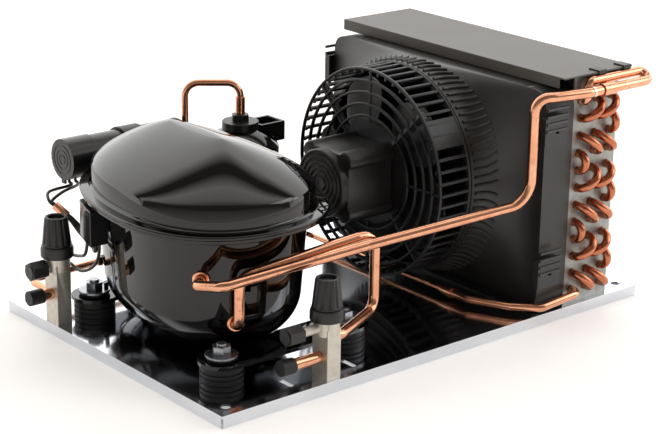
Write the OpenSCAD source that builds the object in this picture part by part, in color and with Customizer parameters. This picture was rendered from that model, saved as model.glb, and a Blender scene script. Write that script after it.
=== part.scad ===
// Air cooled condensing unit: a sealed compressor, a fan cooled condenser and
// their pipework on one pressed tray. The origin is the middle of the tray's
// footprint, at its underside. +X points to the condenser and +Z up.

/* [Base tray] */
// Length of the tray, compressor end to condenser end
base_l = 450; // [448:1:456]
// Width of the tray
base_w = 300; // [299:1:306]
// Height of the tray, underside of the rim to the top face
base_h = 10; // [9:0.5:13]
// Thickness of the tray's sheet
base_sheet = 1.5; // [1:0.1:2]
// Width of the rim's turned-in bottom edge
rim_turn = 20; // [18:0.5:24]
// Radius of each corner mounting hole
corner_r = 4; // [3:0.25:4.5]
// Distance of a corner hole from the tray's end
corner_in_x = 13; // [12.5:0.5:15]
// Distance of a corner hole from the tray's side
corner_in_y = 13; // [12.5:0.5:15]

/* [Compressor shell] */
// Half length of the weld flange across the tray
shell_long = 114.5; // [112:0.5:115]
// Half width of the weld flange along the tray
shell_short = 85; // [83:0.5:86]
// Height of the shell's flat bottom over the tray
shell_rise = 6.7; // [6:0.1:7.5]
// Height of the weld seam over the tray
seam_rise = 111; // [109:0.5:112]
// Height of the crown over the seam
crown_h = 55.4; // [52:0.2:57]
// Wall of both shells
shell_wall = 3; // [2.5:0.1:3.4]
// Step from the flange's edge in to the lower shell
lower_step = 15.7; // [15:0.1:16.2]
// Step from the flange's edge in to the upper shell
upper_step = 10.4; // [9.5:0.1:11]
// Radius round the lower shell's bottom edge
bottom_r = 36.5; // [34:0.5:38]
// Thickness of each flange
flange_t = 3.4; // [3:0.1:3.8]

/* [Compressor feet] */
// Distance between the studs along the tray
stud_pitch_x = 121; // [118:0.5:124]
// Distance between the studs across the tray
stud_pitch_y = 175; // [173:0.5:177]
// Radius of a mounting stud
stud_r = 4; // [3.5:0.1:4.2]
// Radius of a rubber grommet
grommet_r = 17; // [15:0.5:17.5]
// Radius of a stud's washer
washer_r = 13; // [12:0.5:13.5]
// Thickness of a foot plate
foot_t = 3; // [2.5:0.1:3.5]

/* [Condenser] */
// Distance between the outer faces of the two end plates
coil_w = 263; // [260:1:264]
// Depth of the condenser along the tray
coil_d = 53; // [52:0.5:55]
// Height of the condenser over the tray
coil_h = 199; // [197:0.5:202]
// Outer radius of a condenser tube
tube_r = 3.5; // [3.2:0.1:3.7]
// Height between tube rows
row_pitch = 15; // [14.6:0.1:15]
// Distance between tube columns
col_pitch = 17.2; // [16.6:0.1:17.4]
// Number of tube rows
rows = 12; // [4:4:12]
// Thickness of an end plate
plate_t = 1.7; // [1.4:0.1:2]

/* [Fan and shroud] */
// Radius of the guard's drum
drum_r = 90; // [87:0.5:90.5]
// Length of the drum along the fan's axis
drum_l = 36; // [35:0.5:37]
// Tip radius of the fan blades
fan_r = 80; // [74:0.5:81]
// Number of fan blades
blades = 5; // [3:1:6]
// Width and height of the fan motor
motor_w = 62; // [60:0.5:64]
// Length of the fan motor
motor_l = 55; // [52:0.5:56]
// Radius of the fan motor's shaft
shaft_r = 4; // [3:0.25:4.5]
// Wall of the shroud
shroud_wall = 2.4; // [2:0.1:2.8]

/* [Pipes] */
// Outer radius of the suction and discharge pipes
pipe_r = 4.2; // [3.8:0.1:4.3]
// Wall of every pipe
pipe_wall = 0.9; // [0.7:0.05:1]
// Outer radius of the pipe from receiver to liquid valve
liquid_r = 3; // [2.6:0.1:3.2]
// Outer radius of the condenser's outlet line
outlet_r = 3.5; // [3.2:0.1:3.7]
// Outer radius of the line under the fan
line_r = 2.4; // [2:0.1:2.6]

/* [Receiver and capacitor] */
// Radius of the receiver
receiver_r = 34; // [31:0.5:35]
// Height of the receiver, bottom to crown
receiver_h = 122; // [118:0.5:124]
// Radius of the start capacitor
cap_r = 16.5; // [15:0.25:16.75]
// Length of the start capacitor without its end cover
cap_l = 92; // [86:0.5:93]

/* [Service valves] */
// Width of a valve body along the tray
valve_x = 13; // [12:0.25:13.5]
// Width of a valve body across the tray
valve_y = 18; // [17:0.25:18.5]
// Height of the suction valve's body
suction_h = 46; // [44:0.5:48]
// Height of the liquid valve's body
liquid_h = 56; // [54:0.5:58]
// Radius of a valve cap's skirt
skirt_r = 13.3; // [12.6:0.1:13.4]
// Radius of a valve cap's grip
grip_r = 11.5; // [11:0.1:12]
// Radius of a valve's spindle
spindle_r = 4; // [3.5:0.1:4.5]
// Outer radius of a connection stub
stub_r = 4.8; // [4.6:0.1:5]
// Bore radius of a connection stub
stub_bore = 3.9; // [3.6:0.1:4]

/* [Hidden] */
$fn = 36;
over = 1;
run_gap = 0.05;
seat_gap = 0.1;
clear_gap = 0.3;
least = 0.001;
pipe_sides = 14;
thin_sides = 12;
bend_step = 24;

// Screws that hold pieces to the tray from below
screw_r = 2.2;
screw_head_r = 4.2;
screw_head_h = 2.6;
screw_slot = 0.9;
screw_grip = 3.6;
slot_r = 2.2;
slot_l = 12;
slot_in = 14;
slit_w = 1.5;
slit_l = 5;

// Compressor place and the plan of its shell
comp_edge = 5;
comp_x = -base_l / 2 + comp_edge + shell_short;
comp_y = 4;
plan_n = 52;
plan_power = 2.22;
egg_share = 0.14;
draft_share = 0.06;
crown_power = 1.29;
crown_ridge = 4;
skirt_h = 20;
flange_round = 1.6;
bowl_steps = 5;
crown_steps = 8;
shell_z = base_h + shell_rise;
seam_z = base_h + seam_rise;

// Compressor feet
feet_dx = 12;
feet_dy = -10.5;
feet_x = comp_x + feet_dx;
feet_y = comp_y + feet_dy;
foot_rise = 14;
foot_z = base_h + foot_rise;
foot_r = 19;
neck_r = 9;
bulb_h = 2;
ridge_w = 1.2;
ridge_z = 4;
sleeve_wall = 1.3;
sleeve_bore = stud_r + clear_gap;
sleeve_r = sleeve_bore + sleeve_wall;
sleeve_top = foot_z + foot_t + bulb_h;
washer_t = 2;
nut_h = 6.5;
nut_r = 7.5;
stud_head_h = 4;
stud_tip = 2;
stud_top = sleeve_top + washer_t + nut_h + stud_tip;
FEET = [for (i = [-1, 1]) for (j = [-1, 1]) [feet_x + i * stud_pitch_x / 2, feet_y + j * stud_pitch_y / 2]];

// Terminal cover and tabs on the shell's side
term_depth = 17;
term_y0 = 30;
term_w = 34;
term_h = 29.4;
term_wall = 2;
term_z = seam_z - flange_t - flange_round - clear_gap - term_h;
term_slot = 12;
block_d = 4;
block_w = 14;
block_h = 18;
relay_d = 7;
tab_d = 4;
tab_w = 6;
tab_h = 7;
tab_y = 64;
TAB_Z = [22, 45];

// Inside the compressor
stator_r = 46;
stator_bore = 24.3;
stator_rise = 28;
stator_h = 40;
winding_h = 7;
winding_in = 3;
spring_r = 7;
spring_wall = 2;
spring_x = 14;
spring_y = 35;
frame_wall = 4.5;
frame_gap_h = 10;
frame_t = 8;
journal_r = 7;
bearing_r = 12;
bearing_top = 7;
rotor_gap = 0.4;
throw = 8;
pin_r = 6;
pin_h = 14;
web_r = 16;
web_h = 3.7;
block_half = 20;
block_y = 26;
block_l = 48;
bore_r = 13;
head_t = 6;
bolt_r = 2;
bolt_in = 4;
rod_t = 8;
rod_ring = 4.4;
rod_gap = 0.5;
piston_l = 22;
piston_y = 38;
floor_z = shell_z + shell_wall + seat_gap;
stator_z = floor_z + stator_rise;
stator_top = stator_z + stator_h;
frame_z = stator_top + frame_gap_h;
frame_top = frame_z + frame_t;
web_z = frame_top + bearing_top + clear_gap;
pin_z = web_z + web_h;
piston_z = pin_z + pin_h / 2;

// Condenser place
coil_edge = 35;
coil_front = 5.5;
coil_x0 = base_l / 2 - coil_edge - coil_d;
coil_y0 = -base_w / 2 + coil_front;
coil_y1 = coil_y0 + coil_w;
coil_mid = coil_x0 + coil_d / 2;
coil_top = base_h + coil_h;
row_first = 12;
row_z0 = base_h + row_first;
inlet_x = coil_mid - col_pitch;
inlet_z = row_z0 + (rows - 1) * row_pitch;
tube_wall = 0.6;
tube_gap = 0.1;
tube_end = 1;
fin_in = 0.5;
fin_lift = 4.2;
fin_drop = 2;
fin_pitch = 4;
fin_groove = 1.8;
fin_depth = 4;
fin_count = floor((coil_w - 2 * plate_t) / fin_pitch) - 1;
plate_foot = 13;
plate_screw_x = coil_d / 3;
plate_screw_y = plate_foot * 2 / 3;
cover_t = 1.5;
cover_lip = 8;
cover_front = 19;
cover_rear = 9;
cover_near = 6.2;
cover_far = 5;
clip_w = 9;
clip_l = 12;
clip_t = 1.2;
clip_pitch = 30;
clip_share = 0.2;

// Fan, guard and shroud
box_d = 33;
bell_d = 38;
wall_x = coil_x0 - box_d;
drum_end = wall_x - bell_d;
guard_x = drum_end - drum_l;
fan_y = coil_y0 + coil_w / 2;
under_drum = 14.5;
fan_rise = drum_r + under_drum;
fan_z = base_h + fan_rise;
box_over = 1;
box_half = coil_w / 2 + box_over;
box_up = coil_top - cover_lip - clear_gap - fan_z;
box_down = fan_rise - clear_gap;
box_power = 16;
shroud_n = 64;
bell_steps = 8;
ear_x = 6;
ear_l = 26;
ear_h = 24;
ear_t = 6;
ear_hole = 2.2;
ear_low = 34;
ear_high = 156;
guard_r = drum_r - 2 * run_gap;
guard_t = 3;
ring_w = 2.4;
ring_pitch = 10;
guard_rings = 5;
rib_count = 56;
rib_w = 3.2;
rib_t = 3.4;
rib_in = 5;
rear_ring_w = 5;
arm_w = 8;
arm_t = 4;
arm_over = 1;
spoke_w = 2;
spokes = 8;
disc_r = 44;
disc_hole = 19;
panel_turn = 237;
panel_span = 16;
panel_t = 2.4;
motor_corner = 11;
motor_front = guard_t;
motor_wall = 4;
motor_bore = 27;
motor_cap_t = 7;
groove_w = 2;
groove_pitch = 5.5;
groove_t = 1.4;
grooves = 5;
motor_back = motor_front - motor_l;
mstator_l = 30;
mstator_in = 17.2;
mwind_h = 4;
mscrew_r = 1.6;
mscrew_head = 3;
mscrew_head_h = 2.2;
mscrew_l = 8;
mscrew_at = 32.5;
hub_r = 22;
hub_l = 14;
hub_z = 11.5;
hub_wall = 2;
blade_t = 1.8;
blade_l = 19;
blade_pitch = 27;
petal_in = 3;
petal_r = (fan_r - hub_r) / 2 + petal_in;
petal_at = fan_r - petal_r;

// Service valves
valve_edge = 1.5;
suction_dx = 18;
suction_in = 12;
suction_x = comp_x + suction_dx;
suction_y = -base_w / 2 + suction_in;
suction_top = base_h + suction_h;
liquid_x = -base_l / 2 + valve_edge + valve_x / 2;
liquid_y = 82.5;
liquid_top = base_h + liquid_h;
collar_r = 10.3;
collar_h = 11;
valve_neck_r = 8;
neck_h = 9;
spindle_out = 4;
spindle_in = 18;
spindle_sq = 4.6;
spindle_sq_h = 5;
passage_r = 2.5;
cap_room = 21;
cap_skirt_h = 12;
grip_h = 22;
flute_r = 0.9;
flutes = 12;
port_r = 8;
port_l = 14;
port_in = 9;
port_stem = 3.8;
port_bore = 1.2;
port_face_r = 5.9;
port_face_h = 1;
suction_port_drop = 5;
suction_port_at = 26;
liquid_port_drop = 8;
liquid_port_at = 12;
plug_r = 6.2;
plug_l = 13;
plug_in = 8;
suction_stub_rise = 17;
suction_stub_z = base_h + suction_stub_rise;
suction_stub_l = 34;
liquid_stub_rise = 25.5;
liquid_stub_z = base_h + liquid_stub_rise;
liquid_stub_l = 16.5;

// Suction pipe, from the shell round the front foot to its valve
pipe_bend = 12;
collar_t = 2;
collar_w = 2.6;
stub_out = 14;
suction_turn = 249;
suction_start_rise = 38;
suction_start_z = base_h + suction_start_rise;
suction_up_rise = 80;
suction_up_z = base_h + suction_up_rise;
suction_over_rise = 92;
suction_over_z = base_h + suction_over_rise;
suction_leg_dx = 90;
suction_leg_x = comp_x + suction_leg_dx;
suction_leg_dy = 114;
suction_leg_y = comp_y - suction_leg_dy;
suction_run = 18;
suction_bow = 1;
suction_pipe_z = suction_top - collar_h - pipe_r - clear_gap;
suction_enter = 8;

// Discharge pipe, from the shell along the front to the condenser's top
discharge_turn = 229;
discharge_rise = 74;
discharge_z = base_h + discharge_rise;
discharge_dx1 = 57;
discharge_x1 = comp_x - discharge_dx1;
discharge_dy1 = 111;
discharge_y1 = comp_y - discharge_dy1;
discharge_dx2 = 73;
discharge_x2 = comp_x + discharge_dx2;
discharge_dy2 = 124;
discharge_y2 = comp_y - discharge_dy2;
discharge_up = 6;
discharge_rise2 = 88.6;
discharge_z2 = base_h + discharge_rise2;
riser_dx = 14;
riser_x = wall_x - riser_dx;
riser_dy = 1.5;
riser_y = coil_y0 - riser_dy;
riser_rise = 100.5;
riser_z = base_h + riser_rise;
riser_bend = 22;
top_turn_x = 14;
top_turn_y = 6.5;
main_dy = 15;
main_y = coil_y0 - main_dy;
main_drop = 11.5;
main_z = coil_top - main_drop;
main_dx1 = 2;
main_x1 = coil_x0 + main_dx1;
main_dx2 = 16;
main_x2 = coil_x0 + coil_d + main_dx2;
return_gap = 1;
return_bend = 5;
return_y = coil_y0 - tube_end - return_bend;
return_z = coil_top - pipe_r - return_gap;
clip_drop = cover_t + clip_t + return_gap - clear_gap;

// Condenser outlet line, under the fan to the receiver
outlet_bend = 7;
outlet_dy = 10;
outlet_y = coil_y0 - outlet_dy;
outlet_mid_dy = 7;
outlet_mid_y = coil_y0 - outlet_mid_dy;
line_rise = 7;
line_z = base_h + line_rise;
line_dx = 4;
line_x = drum_end + line_dx;
line_in_dx = 18;
line_in_x = wall_x - line_in_dx;
line_in_dy = 11.5;
line_in_y = coil_y0 + line_in_dy;
line_near_dy = 46.5;
line_near_y = coil_y0 + line_near_dy;
reduce_dy = 70;
reduce_y = coil_y0 + reduce_dy;
receiver_in_rise = 22;
receiver_in_z = base_h + receiver_in_rise;
receiver_in_l = 18;
sleeve_l = 14;
sleeve_dx = 14;
sleeve_gap = 0.2;
sleeve_t = 1;

// Receiver and the pipe that loops over it
receiver_x = -12;
receiver_back = 42;
receiver_y = base_w / 2 - receiver_back;
receiver_rise = 4;
receiver_wall = 2.5;
receiver_up = 18;
receiver_down = 10;
receiver_z = base_h + receiver_rise;
receiver_top = receiver_z + receiver_h;
ring_foot_r = 26;
ring_foot_t = 2.5;
fitting_r = 16;
fitting_h = 4;
fitting_nut_h = 6;
fitting_nut_r = 8;
clamp_x = 14;
clamp_l = 26;
clamp_w = 24;
clamp_t = 2.5;
clamp_h = 17;
loop_rise = 164;
loop_top = base_h + loop_rise;
loop_dx = 39;
loop_x = receiver_x - loop_dx;
loop_dy = 28;
loop_y = receiver_y + loop_dy;
loop_low_rise = 22;
loop_low = base_h + loop_low_rise;
loop_turn_dy = 45.5;
loop_turn_y = liquid_y + loop_turn_dy;
loop_sleeve = 15.5;

// Start capacitor
cap_dx = 41;
cap_x = comp_x - cap_dx;
cap_back = 13.5;
cap_y = base_w / 2 - cap_back;
cap_rise = 6;
cap_z = seam_z + cap_rise;
cap_cover_l = 26;
cap_cover_t = 1;
cap_tab = 5;
cap_tab_t = 2;
cap_bead = 3;
strap_dx = 56;
strap_x = cap_x + strap_dx;
strap_w = 20;
strap_t = 2;
strap_in = 10.5;
strap_foot = 12;

// Leads, as points on their routes, from the middle of the shell's seam
lead_r = 1.3;
cable_r = 1.6;
lead_sides = 8;
lead_steps = 4;
ferrule_r = 3.6;
FERRULE = [[-69, 101, -20], [-63, 92, -28]];
CAP_LEADS = [[[-35, 132.5, -11.7], [-35, 132.5, -14.2], [-37, 127.5, -15.6], [-65.5, 114.5, -12.5],
    [-72.7, 103.9, -15.7], [-70.4, 100.5, -19.7]], [[-29, 132.5, -11.7], [-29, 132.5, -14.2],
    [-31, 126, -16], [-56.5, 108.5, -13], [-69.1, 105.1, -17.3], [-67.8, 102.4, -19.7]]];
CABLES = [[[-64.5, 91, -28.1], [-62.3, 87.7, -31], [-61, 78, -38], [-62, 64, -42], [-66.2, 49.6, -40],
    [-67, 49, -29.5]], [[-61.5, 93, -28.1], [-59.3, 89.7, -31], [-57, 80, -37], [-58, 66, -44],
    [-66, 46.5, -45], [-67, 43.5, -29.5]]];
LEADS = [[[-69, 100, -111], [-69, 100, -81], [-67, 94, -61], [-65, 74, -57], [-68.6, 57, -49],
    [-68, 53.5, -29.5]], [[-64, 100, -111], [-64, 100, -85], [-63, 94, -69], [-62, 76, -71],
    [-62, 58, -63], [-66.6, 41, -47], [-67, 39, -29.5]]];

// Screw places on the tray
SCREWS = concat([[suction_x, suction_y], [liquid_x, liquid_y], [receiver_x, receiver_y],
    [strap_x + strap_w / 2, cap_y - strap_in - strap_t / 2 + strap_foot / 2]],
    [for (i = [-1, 1])
        for (y = [coil_y0 + plate_screw_y, coil_y1 - plate_screw_y]) [coil_mid + i * plate_screw_x, y]]);
slot_dx1 = 47;
slot_dx2 = 15;
SLOTS = [[comp_x + slot_dx1, -base_w / 2 + slot_in], [comp_x - slot_dx2, -base_w / 2 + slot_in]];

function unit(v) = v / norm(v);
function side(v) = abs(v.z) < norm(v) * cos(25) ? unit(cross([0, 0, 1], v)) : unit(cross([1, 0, 0], v));
function basis(p, x, y, z) = [[x.x, y.x, z.x, p.x], [x.y, y.y, z.y, p.y], [x.z, y.z, z.z, p.z], [0, 0, 0, 1]];
function turn(a, b, c) = acos(max(-1, min(1, unit(b - a) * unit(c - b))));

module annulus(r, bore) difference() {
    circle(r = r, $fn = 24);
    if (bore > 0) circle(r = bore, $fn = 24);
}

// Straight round bar or tube from p to q
module run(p, q, r, bore = 0) {
    z = unit(q - p);
    x = side(z);
    multmatrix(basis(p, x, cross(z, x), z)) linear_extrude(norm(q - p)) annulus(r, bore);
}

// Half ring that joins two tubes side by side
module u_bend(p, q, out, r, bore) {
    x = unit(q - p);
    multmatrix(basis((p + q) / 2, x, out, cross(x, out)))
        rotate_extrude(angle = 180, $fn = 48) translate([norm(q - p) / 2, 0]) annulus(r, bore);
}

// Closed skin through rings of points, with a flat cap at each end
module loft(rings, flip = false) {
    n = len(rings[0]);
    m = len(rings);
    walls = [for (i = [0 : m - 2]) for (j = [0 : n - 1]) let(k = (j + 1) % n)
        each [[i * n + j, i * n + n + j, i * n + n + k], [i * n + j, i * n + n + k, i * n + k]]];
    ends = [[for (j = [0 : n - 1]) j], [for (j = [n - 1 : -1 : 0]) (m - 1) * n + j]];
    faces = concat(walls, ends);
    turned = [for (f = faces) [for (i = [len(f) - 1 : -1 : 0]) f[i]]];
    polyhedron([for (r = rings) each r], flip ? turned : faces);
}

// Skin through rings that close on themselves, as a wall round an opening
module loft_wall(rings) {
    n = len(rings[0]);
    m = len(rings);
    faces = [for (i = [0 : m - 1]) for (j = [0 : n - 1]) let(k = (j + 1) % n, h = (i + 1) % m)
        each [[i * n + j, h * n + j, h * n + k], [i * n + j, h * n + k, i * n + k]]];
    polyhedron([for (r = rings) each r], faces);
}

// Places and directions round the bend at a corner of a route
function bend_at(pts, i, bend) = let(u = unit(pts[i] - pts[i - 1]), v = unit(pts[i + 1] - pts[i]),
    angle = turn(pts[i - 1], pts[i], pts[i + 1]), n = unit(v - u * (u * v)), steps = ceil(angle / bend_step),
    centre = pts[i] - u * bend * tan(angle / 2) + n * bend)
    [for (k = [0 : steps]) let(w = angle * k / steps)
        [centre - n * bend * cos(w) + u * bend * sin(w), u * cos(w) + n * sin(w)]];
function rounded(pts, bend) = let(last = len(pts) - 1, all = [[pts[0], unit(pts[1] - pts[0])],
    for (i = [1 : last - 1]) each bend_at(pts, i, is_list(bend) ? bend[i] : bend),
    [pts[last], unit(pts[last] - pts[last - 1])]])
    [for (i = [0 : len(all) - 1]) if (i == 0 || norm(all[i][0] - all[i - 1][0]) > least) all[i]];
function smooth(p, steps) = let(last = len(p) - 1) [for (i = [0 : last - 1])
    for (s = [0 : steps - (i < last - 1 ? 1 : 0)])
    let(a = p[max(i - 1, 0)], b = p[i], c = p[i + 1], d = p[min(i + 2, last)], t = s / steps,
        e = 2 * a - 5 * b + 4 * c - d, f = 3 * b - a - 3 * c + d)
    [(2 * b + (c - a) * t + e * t * t + f * t * t * t) / 2, unit(c - a + 2 * e * t + 3 * f * t * t)]];
function carry(path, i, x) = i == len(path) ? []
    : let(y = unit(x - path[i][1] * (x * path[i][1]))) concat([y], carry(path, i + 1, y));
function around(path, r, sides) = let(xs = carry(path, 0, side(path[0][1])))
    [for (i = [0 : len(path) - 1]) let(y = cross(path[i][1], xs[i])) [for (k = [0 : sides - 1])
        path[i][0] + r * (cos(360 * k / sides) * xs[i] + sin(360 * k / sides) * y)]];

// Bent pipe through the corners of a route, with one bend radius or a list
module pipe(pts, r, bend, sides = pipe_sides) {
    path = rounded(pts, bend);
    inner = around(path, r - pipe_wall, sides);
    loft_wall(concat(around(path, r, sides), [for (i = [len(inner) - 1 : -1 : 0]) inner[i]]));
}

// Lead swept along smooth points
module lead(pts, r) translate([comp_x, comp_y, seam_z]) loft(around(smooth(pts, lead_steps), r, lead_sides));

// Plan of the compressor's shell, stepped in from the flange's edge
function bow(c, power) = sign(c) * pow(abs(c), 2 / power);
function spot(t, inset) = let(x = (shell_short - inset) * bow(cos(t), plan_power),
    y = (shell_long - inset) * bow(sin(t), plan_power)) [comp_x + x * (1 - egg_share * y / shell_long),
        comp_y + y];
function plan2(inset) = [for (k = [0 : plan_n - 1]) spot(360 * k / plan_n, inset)];
function plan(inset, z) = [for (p = plan2(inset)) [p.x, p.y, z]];
function wall_inset(z) = lower_step + draft_share * (seam_z - z);
function dip(z) = z > shell_z + bottom_r ? 0
    : bottom_r - sqrt(pow(bottom_r, 2) - pow(bottom_r - z + shell_z, 2));
function bowl(i, off) = let(a = 90 * i / bowl_steps, z = shell_z + bottom_r * (1 - cos(a)) + off * cos(a))
    plan(wall_inset(z) + bottom_r * (1 - sin(a)) + off * sin(a), z);
function crown(i, off) = let(s = cos(90 * i / crown_steps),
    k = 1 - pow(1 - pow(s, crown_power), 1 / crown_power))
    plan(upper_step + (shell_short - upper_step - crown_ridge - off) * k + off,
        seam_z + skirt_h + (crown_h - skirt_h - off) * s);
// Point on the lower shell at a turn and height, and the way out from it
function skin(t, z) = let(p = spot(t, wall_inset(z) + dip(z))) [p.x, p.y, z];
function out(t, z) = unit(cross(skin(t + 1, z) - skin(t - 1, z), [0, 0, 1]));
// Start of a brazed pipe, clear of the wall that leans out over it
function step_in(z) = wall_inset(z) + dip(z);
function stub_start(t, z) = skin(t, z)
    + out(t, z) * (clear_gap + step_in(z) - step_in(z + pipe_r + collar_w));

module base_plate() color("silver") difference() {
    translate([-base_l / 2, -base_w / 2, 0]) cube([base_l, base_w, base_h]);
    translate([-base_l / 2 + base_sheet, -base_w / 2 + base_sheet, base_sheet])
        cube([base_l - 2 * base_sheet, base_w - 2 * base_sheet, base_h - 2 * base_sheet]);
    translate([-base_l / 2 + rim_turn, -base_w / 2 + rim_turn, -over])
        cube([base_l - 2 * rim_turn, base_w - 2 * rim_turn, base_sheet + 2 * over]);
    for (i = [-1, 1]) for (j = [-1, 1]) {
        translate([i * (base_l / 2 - corner_in_x), j * (base_w / 2 - corner_in_y), -over])
            cylinder(r = corner_r, h = base_h + 2 * over);
        translate([i * base_l / 2, j * base_w / 2, (base_h - base_sheet) / 2 - over]) rotate(45 * i * j)
            cube([2 * slit_l, slit_w, base_h - base_sheet + 2 * over], center = true);
    }
    for (f = FEET) translate([f.x, f.y, base_h / 2]) cylinder(r = stud_r + run_gap, h = base_h);
    for (s = SCREWS) translate([s.x, s.y, base_h / 2]) cylinder(r = screw_r + run_gap, h = base_h);
    for (s = SLOTS) translate([s.x, s.y, base_h / 2]) {
        for (y = [0, slot_l]) translate([0, y, 0]) cylinder(r = slot_r, h = base_h);
        translate([-slot_r, 0, 0]) cube([2 * slot_r, slot_l, base_h]);
    }
}

module unit_screws() color("gainsboro") {
    for (s = SCREWS) translate([s.x, s.y, base_h - base_sheet - screw_head_h]) {
        difference() {
            cylinder(r = screw_head_r, h = screw_head_h);
            translate([-screw_head_r, -screw_slot / 2, -over])
                cube([2 * screw_head_r, screw_slot, screw_head_h / 2 + over]);
        }
        cylinder(r = screw_r, h = screw_head_h + base_sheet + screw_grip);
    }
    on_fan() for (a = [45 : 90 : 315]) rotate(a) translate([mscrew_at, 0, motor_front]) {
        translate([0, 0, arm_t - arm_over]) cylinder(r = mscrew_head, h = mscrew_head_h);
        translate([0, 0, -mscrew_l]) cylinder(r = mscrew_r, h = mscrew_l + arm_t - arm_over);
    }
}

module foot_studs() color("silver") for (f = FEET) translate([f.x, f.y, 0]) {
    translate([0, 0, base_h - base_sheet - stud_head_h]) cylinder(r = nut_r, h = stud_head_h, $fn = 6);
    translate([0, 0, base_h - base_sheet]) cylinder(r = stud_r, h = stud_top - base_h + base_sheet);
}

module foot_nuts() color("silver") for (f = FEET) translate([f.x, f.y, sleeve_top + washer_t]) difference() {
    cylinder(r = nut_r, h = nut_h, $fn = 6);
    translate([0, 0, -over]) cylinder(r = stud_r + run_gap, h = nut_h + 2 * over);
}

module foot_washers() color("silver") for (f = FEET) translate([f.x, f.y, sleeve_top]) difference() {
    cylinder(r = washer_r, h = washer_t);
    translate([0, 0, -over]) cylinder(r = stud_r + run_gap, h = washer_t + 2 * over);
}

module foot_sleeves() color("darkgray") for (f = FEET) translate([f.x, f.y, base_h]) difference() {
    cylinder(r = sleeve_r, h = sleeve_top - base_h);
    translate([0, 0, -over]) cylinder(r = sleeve_bore, h = sleeve_top - base_h + 2 * over);
}

module foot_grommets() color("black") for (f = FEET) translate([f.x, f.y, 0]) difference() {
    union() {
        translate([0, 0, base_h]) cylinder(r = grommet_r, h = foot_rise);
        translate([0, 0, foot_z]) cylinder(r = neck_r, h = foot_t);
        translate([0, 0, foot_z + foot_t]) cylinder(r = washer_r - ridge_w, h = bulb_h);
    }
    translate([0, 0, base_h - over]) cylinder(r = sleeve_r + run_gap, h = sleeve_top - base_h + 2 * over);
    for (i = [1, 2]) translate([0, 0, base_h + ridge_z * i]) difference() {
        cylinder(r = grommet_r + over, h = ridge_w);
        translate([0, 0, -over]) cylinder(r = grommet_r - ridge_w, h = ridge_w + 2 * over);
    }
}

// Two plates across the shell, each under two studs
module foot_plates() color("black") translate([0, 0, foot_z]) linear_extrude(foot_t) difference() {
    for (j = [-1, 1]) translate([feet_x, feet_y + j * stud_pitch_y / 2]) {
        for (i = [-1, 1]) translate([i * stud_pitch_x / 2, 0]) circle(r = foot_r);
        translate([-stud_pitch_x / 2, -foot_r]) square([stud_pitch_x, 2 * foot_r]);
    }
    for (f = FEET) translate(f) circle(r = neck_r + seat_gap);
    polygon(plan2(wall_inset(foot_z + foot_t) + dip(foot_z + foot_t) - seat_gap));
}

module lower_shell() color("black") loft(concat(
    [for (i = [0 : bowl_steps]) bowl(i, 0)],
    [plan(wall_inset(seam_z - flange_t - flange_round), seam_z - flange_t - flange_round),
        plan(lower_step - flange_round, seam_z - flange_t), plan(flange_round, seam_z - flange_t),
        plan(flange_round, seam_z), plan(lower_step + shell_wall, seam_z)],
    [for (i = [bowl_steps : -1 : 0]) bowl(i, shell_wall)]));

module upper_shell() color("black") loft(concat(
    [for (i = [0 : crown_steps]) crown(i, 0)],
    [plan(upper_step, seam_z + flange_t + flange_round), plan(upper_step - flange_round, seam_z + flange_t),
        plan(flange_round / 2, seam_z + flange_t), plan(0, seam_z + flange_t / 2),
        plan(flange_round / 2, seam_z + least), plan(upper_step + shell_wall, seam_z + least)],
    [for (i = [crown_steps : -1 : 0]) crown(i, shell_wall)]), true);

// Part of the shell's outline between two steps, as a curved slab
module slab(near, far, y0, y1, z0, z1) translate([0, 0, z0]) linear_extrude(z1 - z0) intersection() {
    difference() {
        polygon(plan2(near));
        polygon(plan2(far));
    }
    translate([comp_x - 2 * shell_short, comp_y + y0]) square([2 * shell_short, y1 - y0]);
}
term_back = wall_inset(term_z + term_h) - seat_gap;

module terminal_cover() color("black") difference() {
    slab(term_back - term_depth, term_back, term_y0, term_y0 + term_w, term_z, term_z + term_h);
    slab(term_back - term_depth + term_wall, term_back + over, term_y0 + term_wall,
        term_y0 + term_w - term_wall, term_z + term_wall, term_z + term_h - term_wall);
    slab(term_back - block_d - relay_d - 2 * term_wall, term_back + over, term_y0 + term_wall,
        term_y0 + term_w - term_wall - term_slot / 2, term_z - over, term_z + term_wall + over);
}
module terminal_block() color("saddlebrown") slab(term_back - block_d, term_back,
    term_y0 + (term_w - block_w) / 2, term_y0 + (term_w + block_w) / 2,
    term_z + (term_h - block_h) / 2, term_z + (term_h + block_h) / 2);
module start_relay() color("ivory") slab(term_back - block_d - relay_d, term_back - block_d,
    term_y0 + 2 * term_wall, term_y0 + term_w - 2 * term_wall,
    term_z + (term_h - block_h) / 2, term_z + (term_h + block_h) / 2);
module shell_tabs() color("black") for (z = TAB_Z) {
    foot = wall_inset(base_h + z + tab_h) + dip(base_h + z + tab_h) - seat_gap;
    slab(foot - tab_d, foot, tab_y, tab_y + tab_w, base_h + z, base_h + z + tab_h);
}

module pipe_collars() color("peru")
    for (s = [[discharge_turn, discharge_z], [suction_turn, suction_start_z]]) {
    p = stub_start(s[0], s[1]);
    run(p, p + out(s[0], s[1]) * collar_t, pipe_r + collar_w, pipe_r + run_gap);
}

module in_shell() translate([comp_x, comp_y, 0]) children();

module compressor_stator() color("dimgray") in_shell() difference() {
    union() {
        translate([0, 0, stator_z]) cylinder(r = stator_r, h = stator_h);
        for (z = [stator_z - winding_h, stator_top]) translate([0, 0, z])
            cylinder(r = stator_r - frame_wall - winding_in, h = winding_h);
    }
    translate([0, 0, stator_z - winding_h - over])
        cylinder(r = stator_bore, h = stator_h + 2 * winding_h + 2 * over);
}

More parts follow.
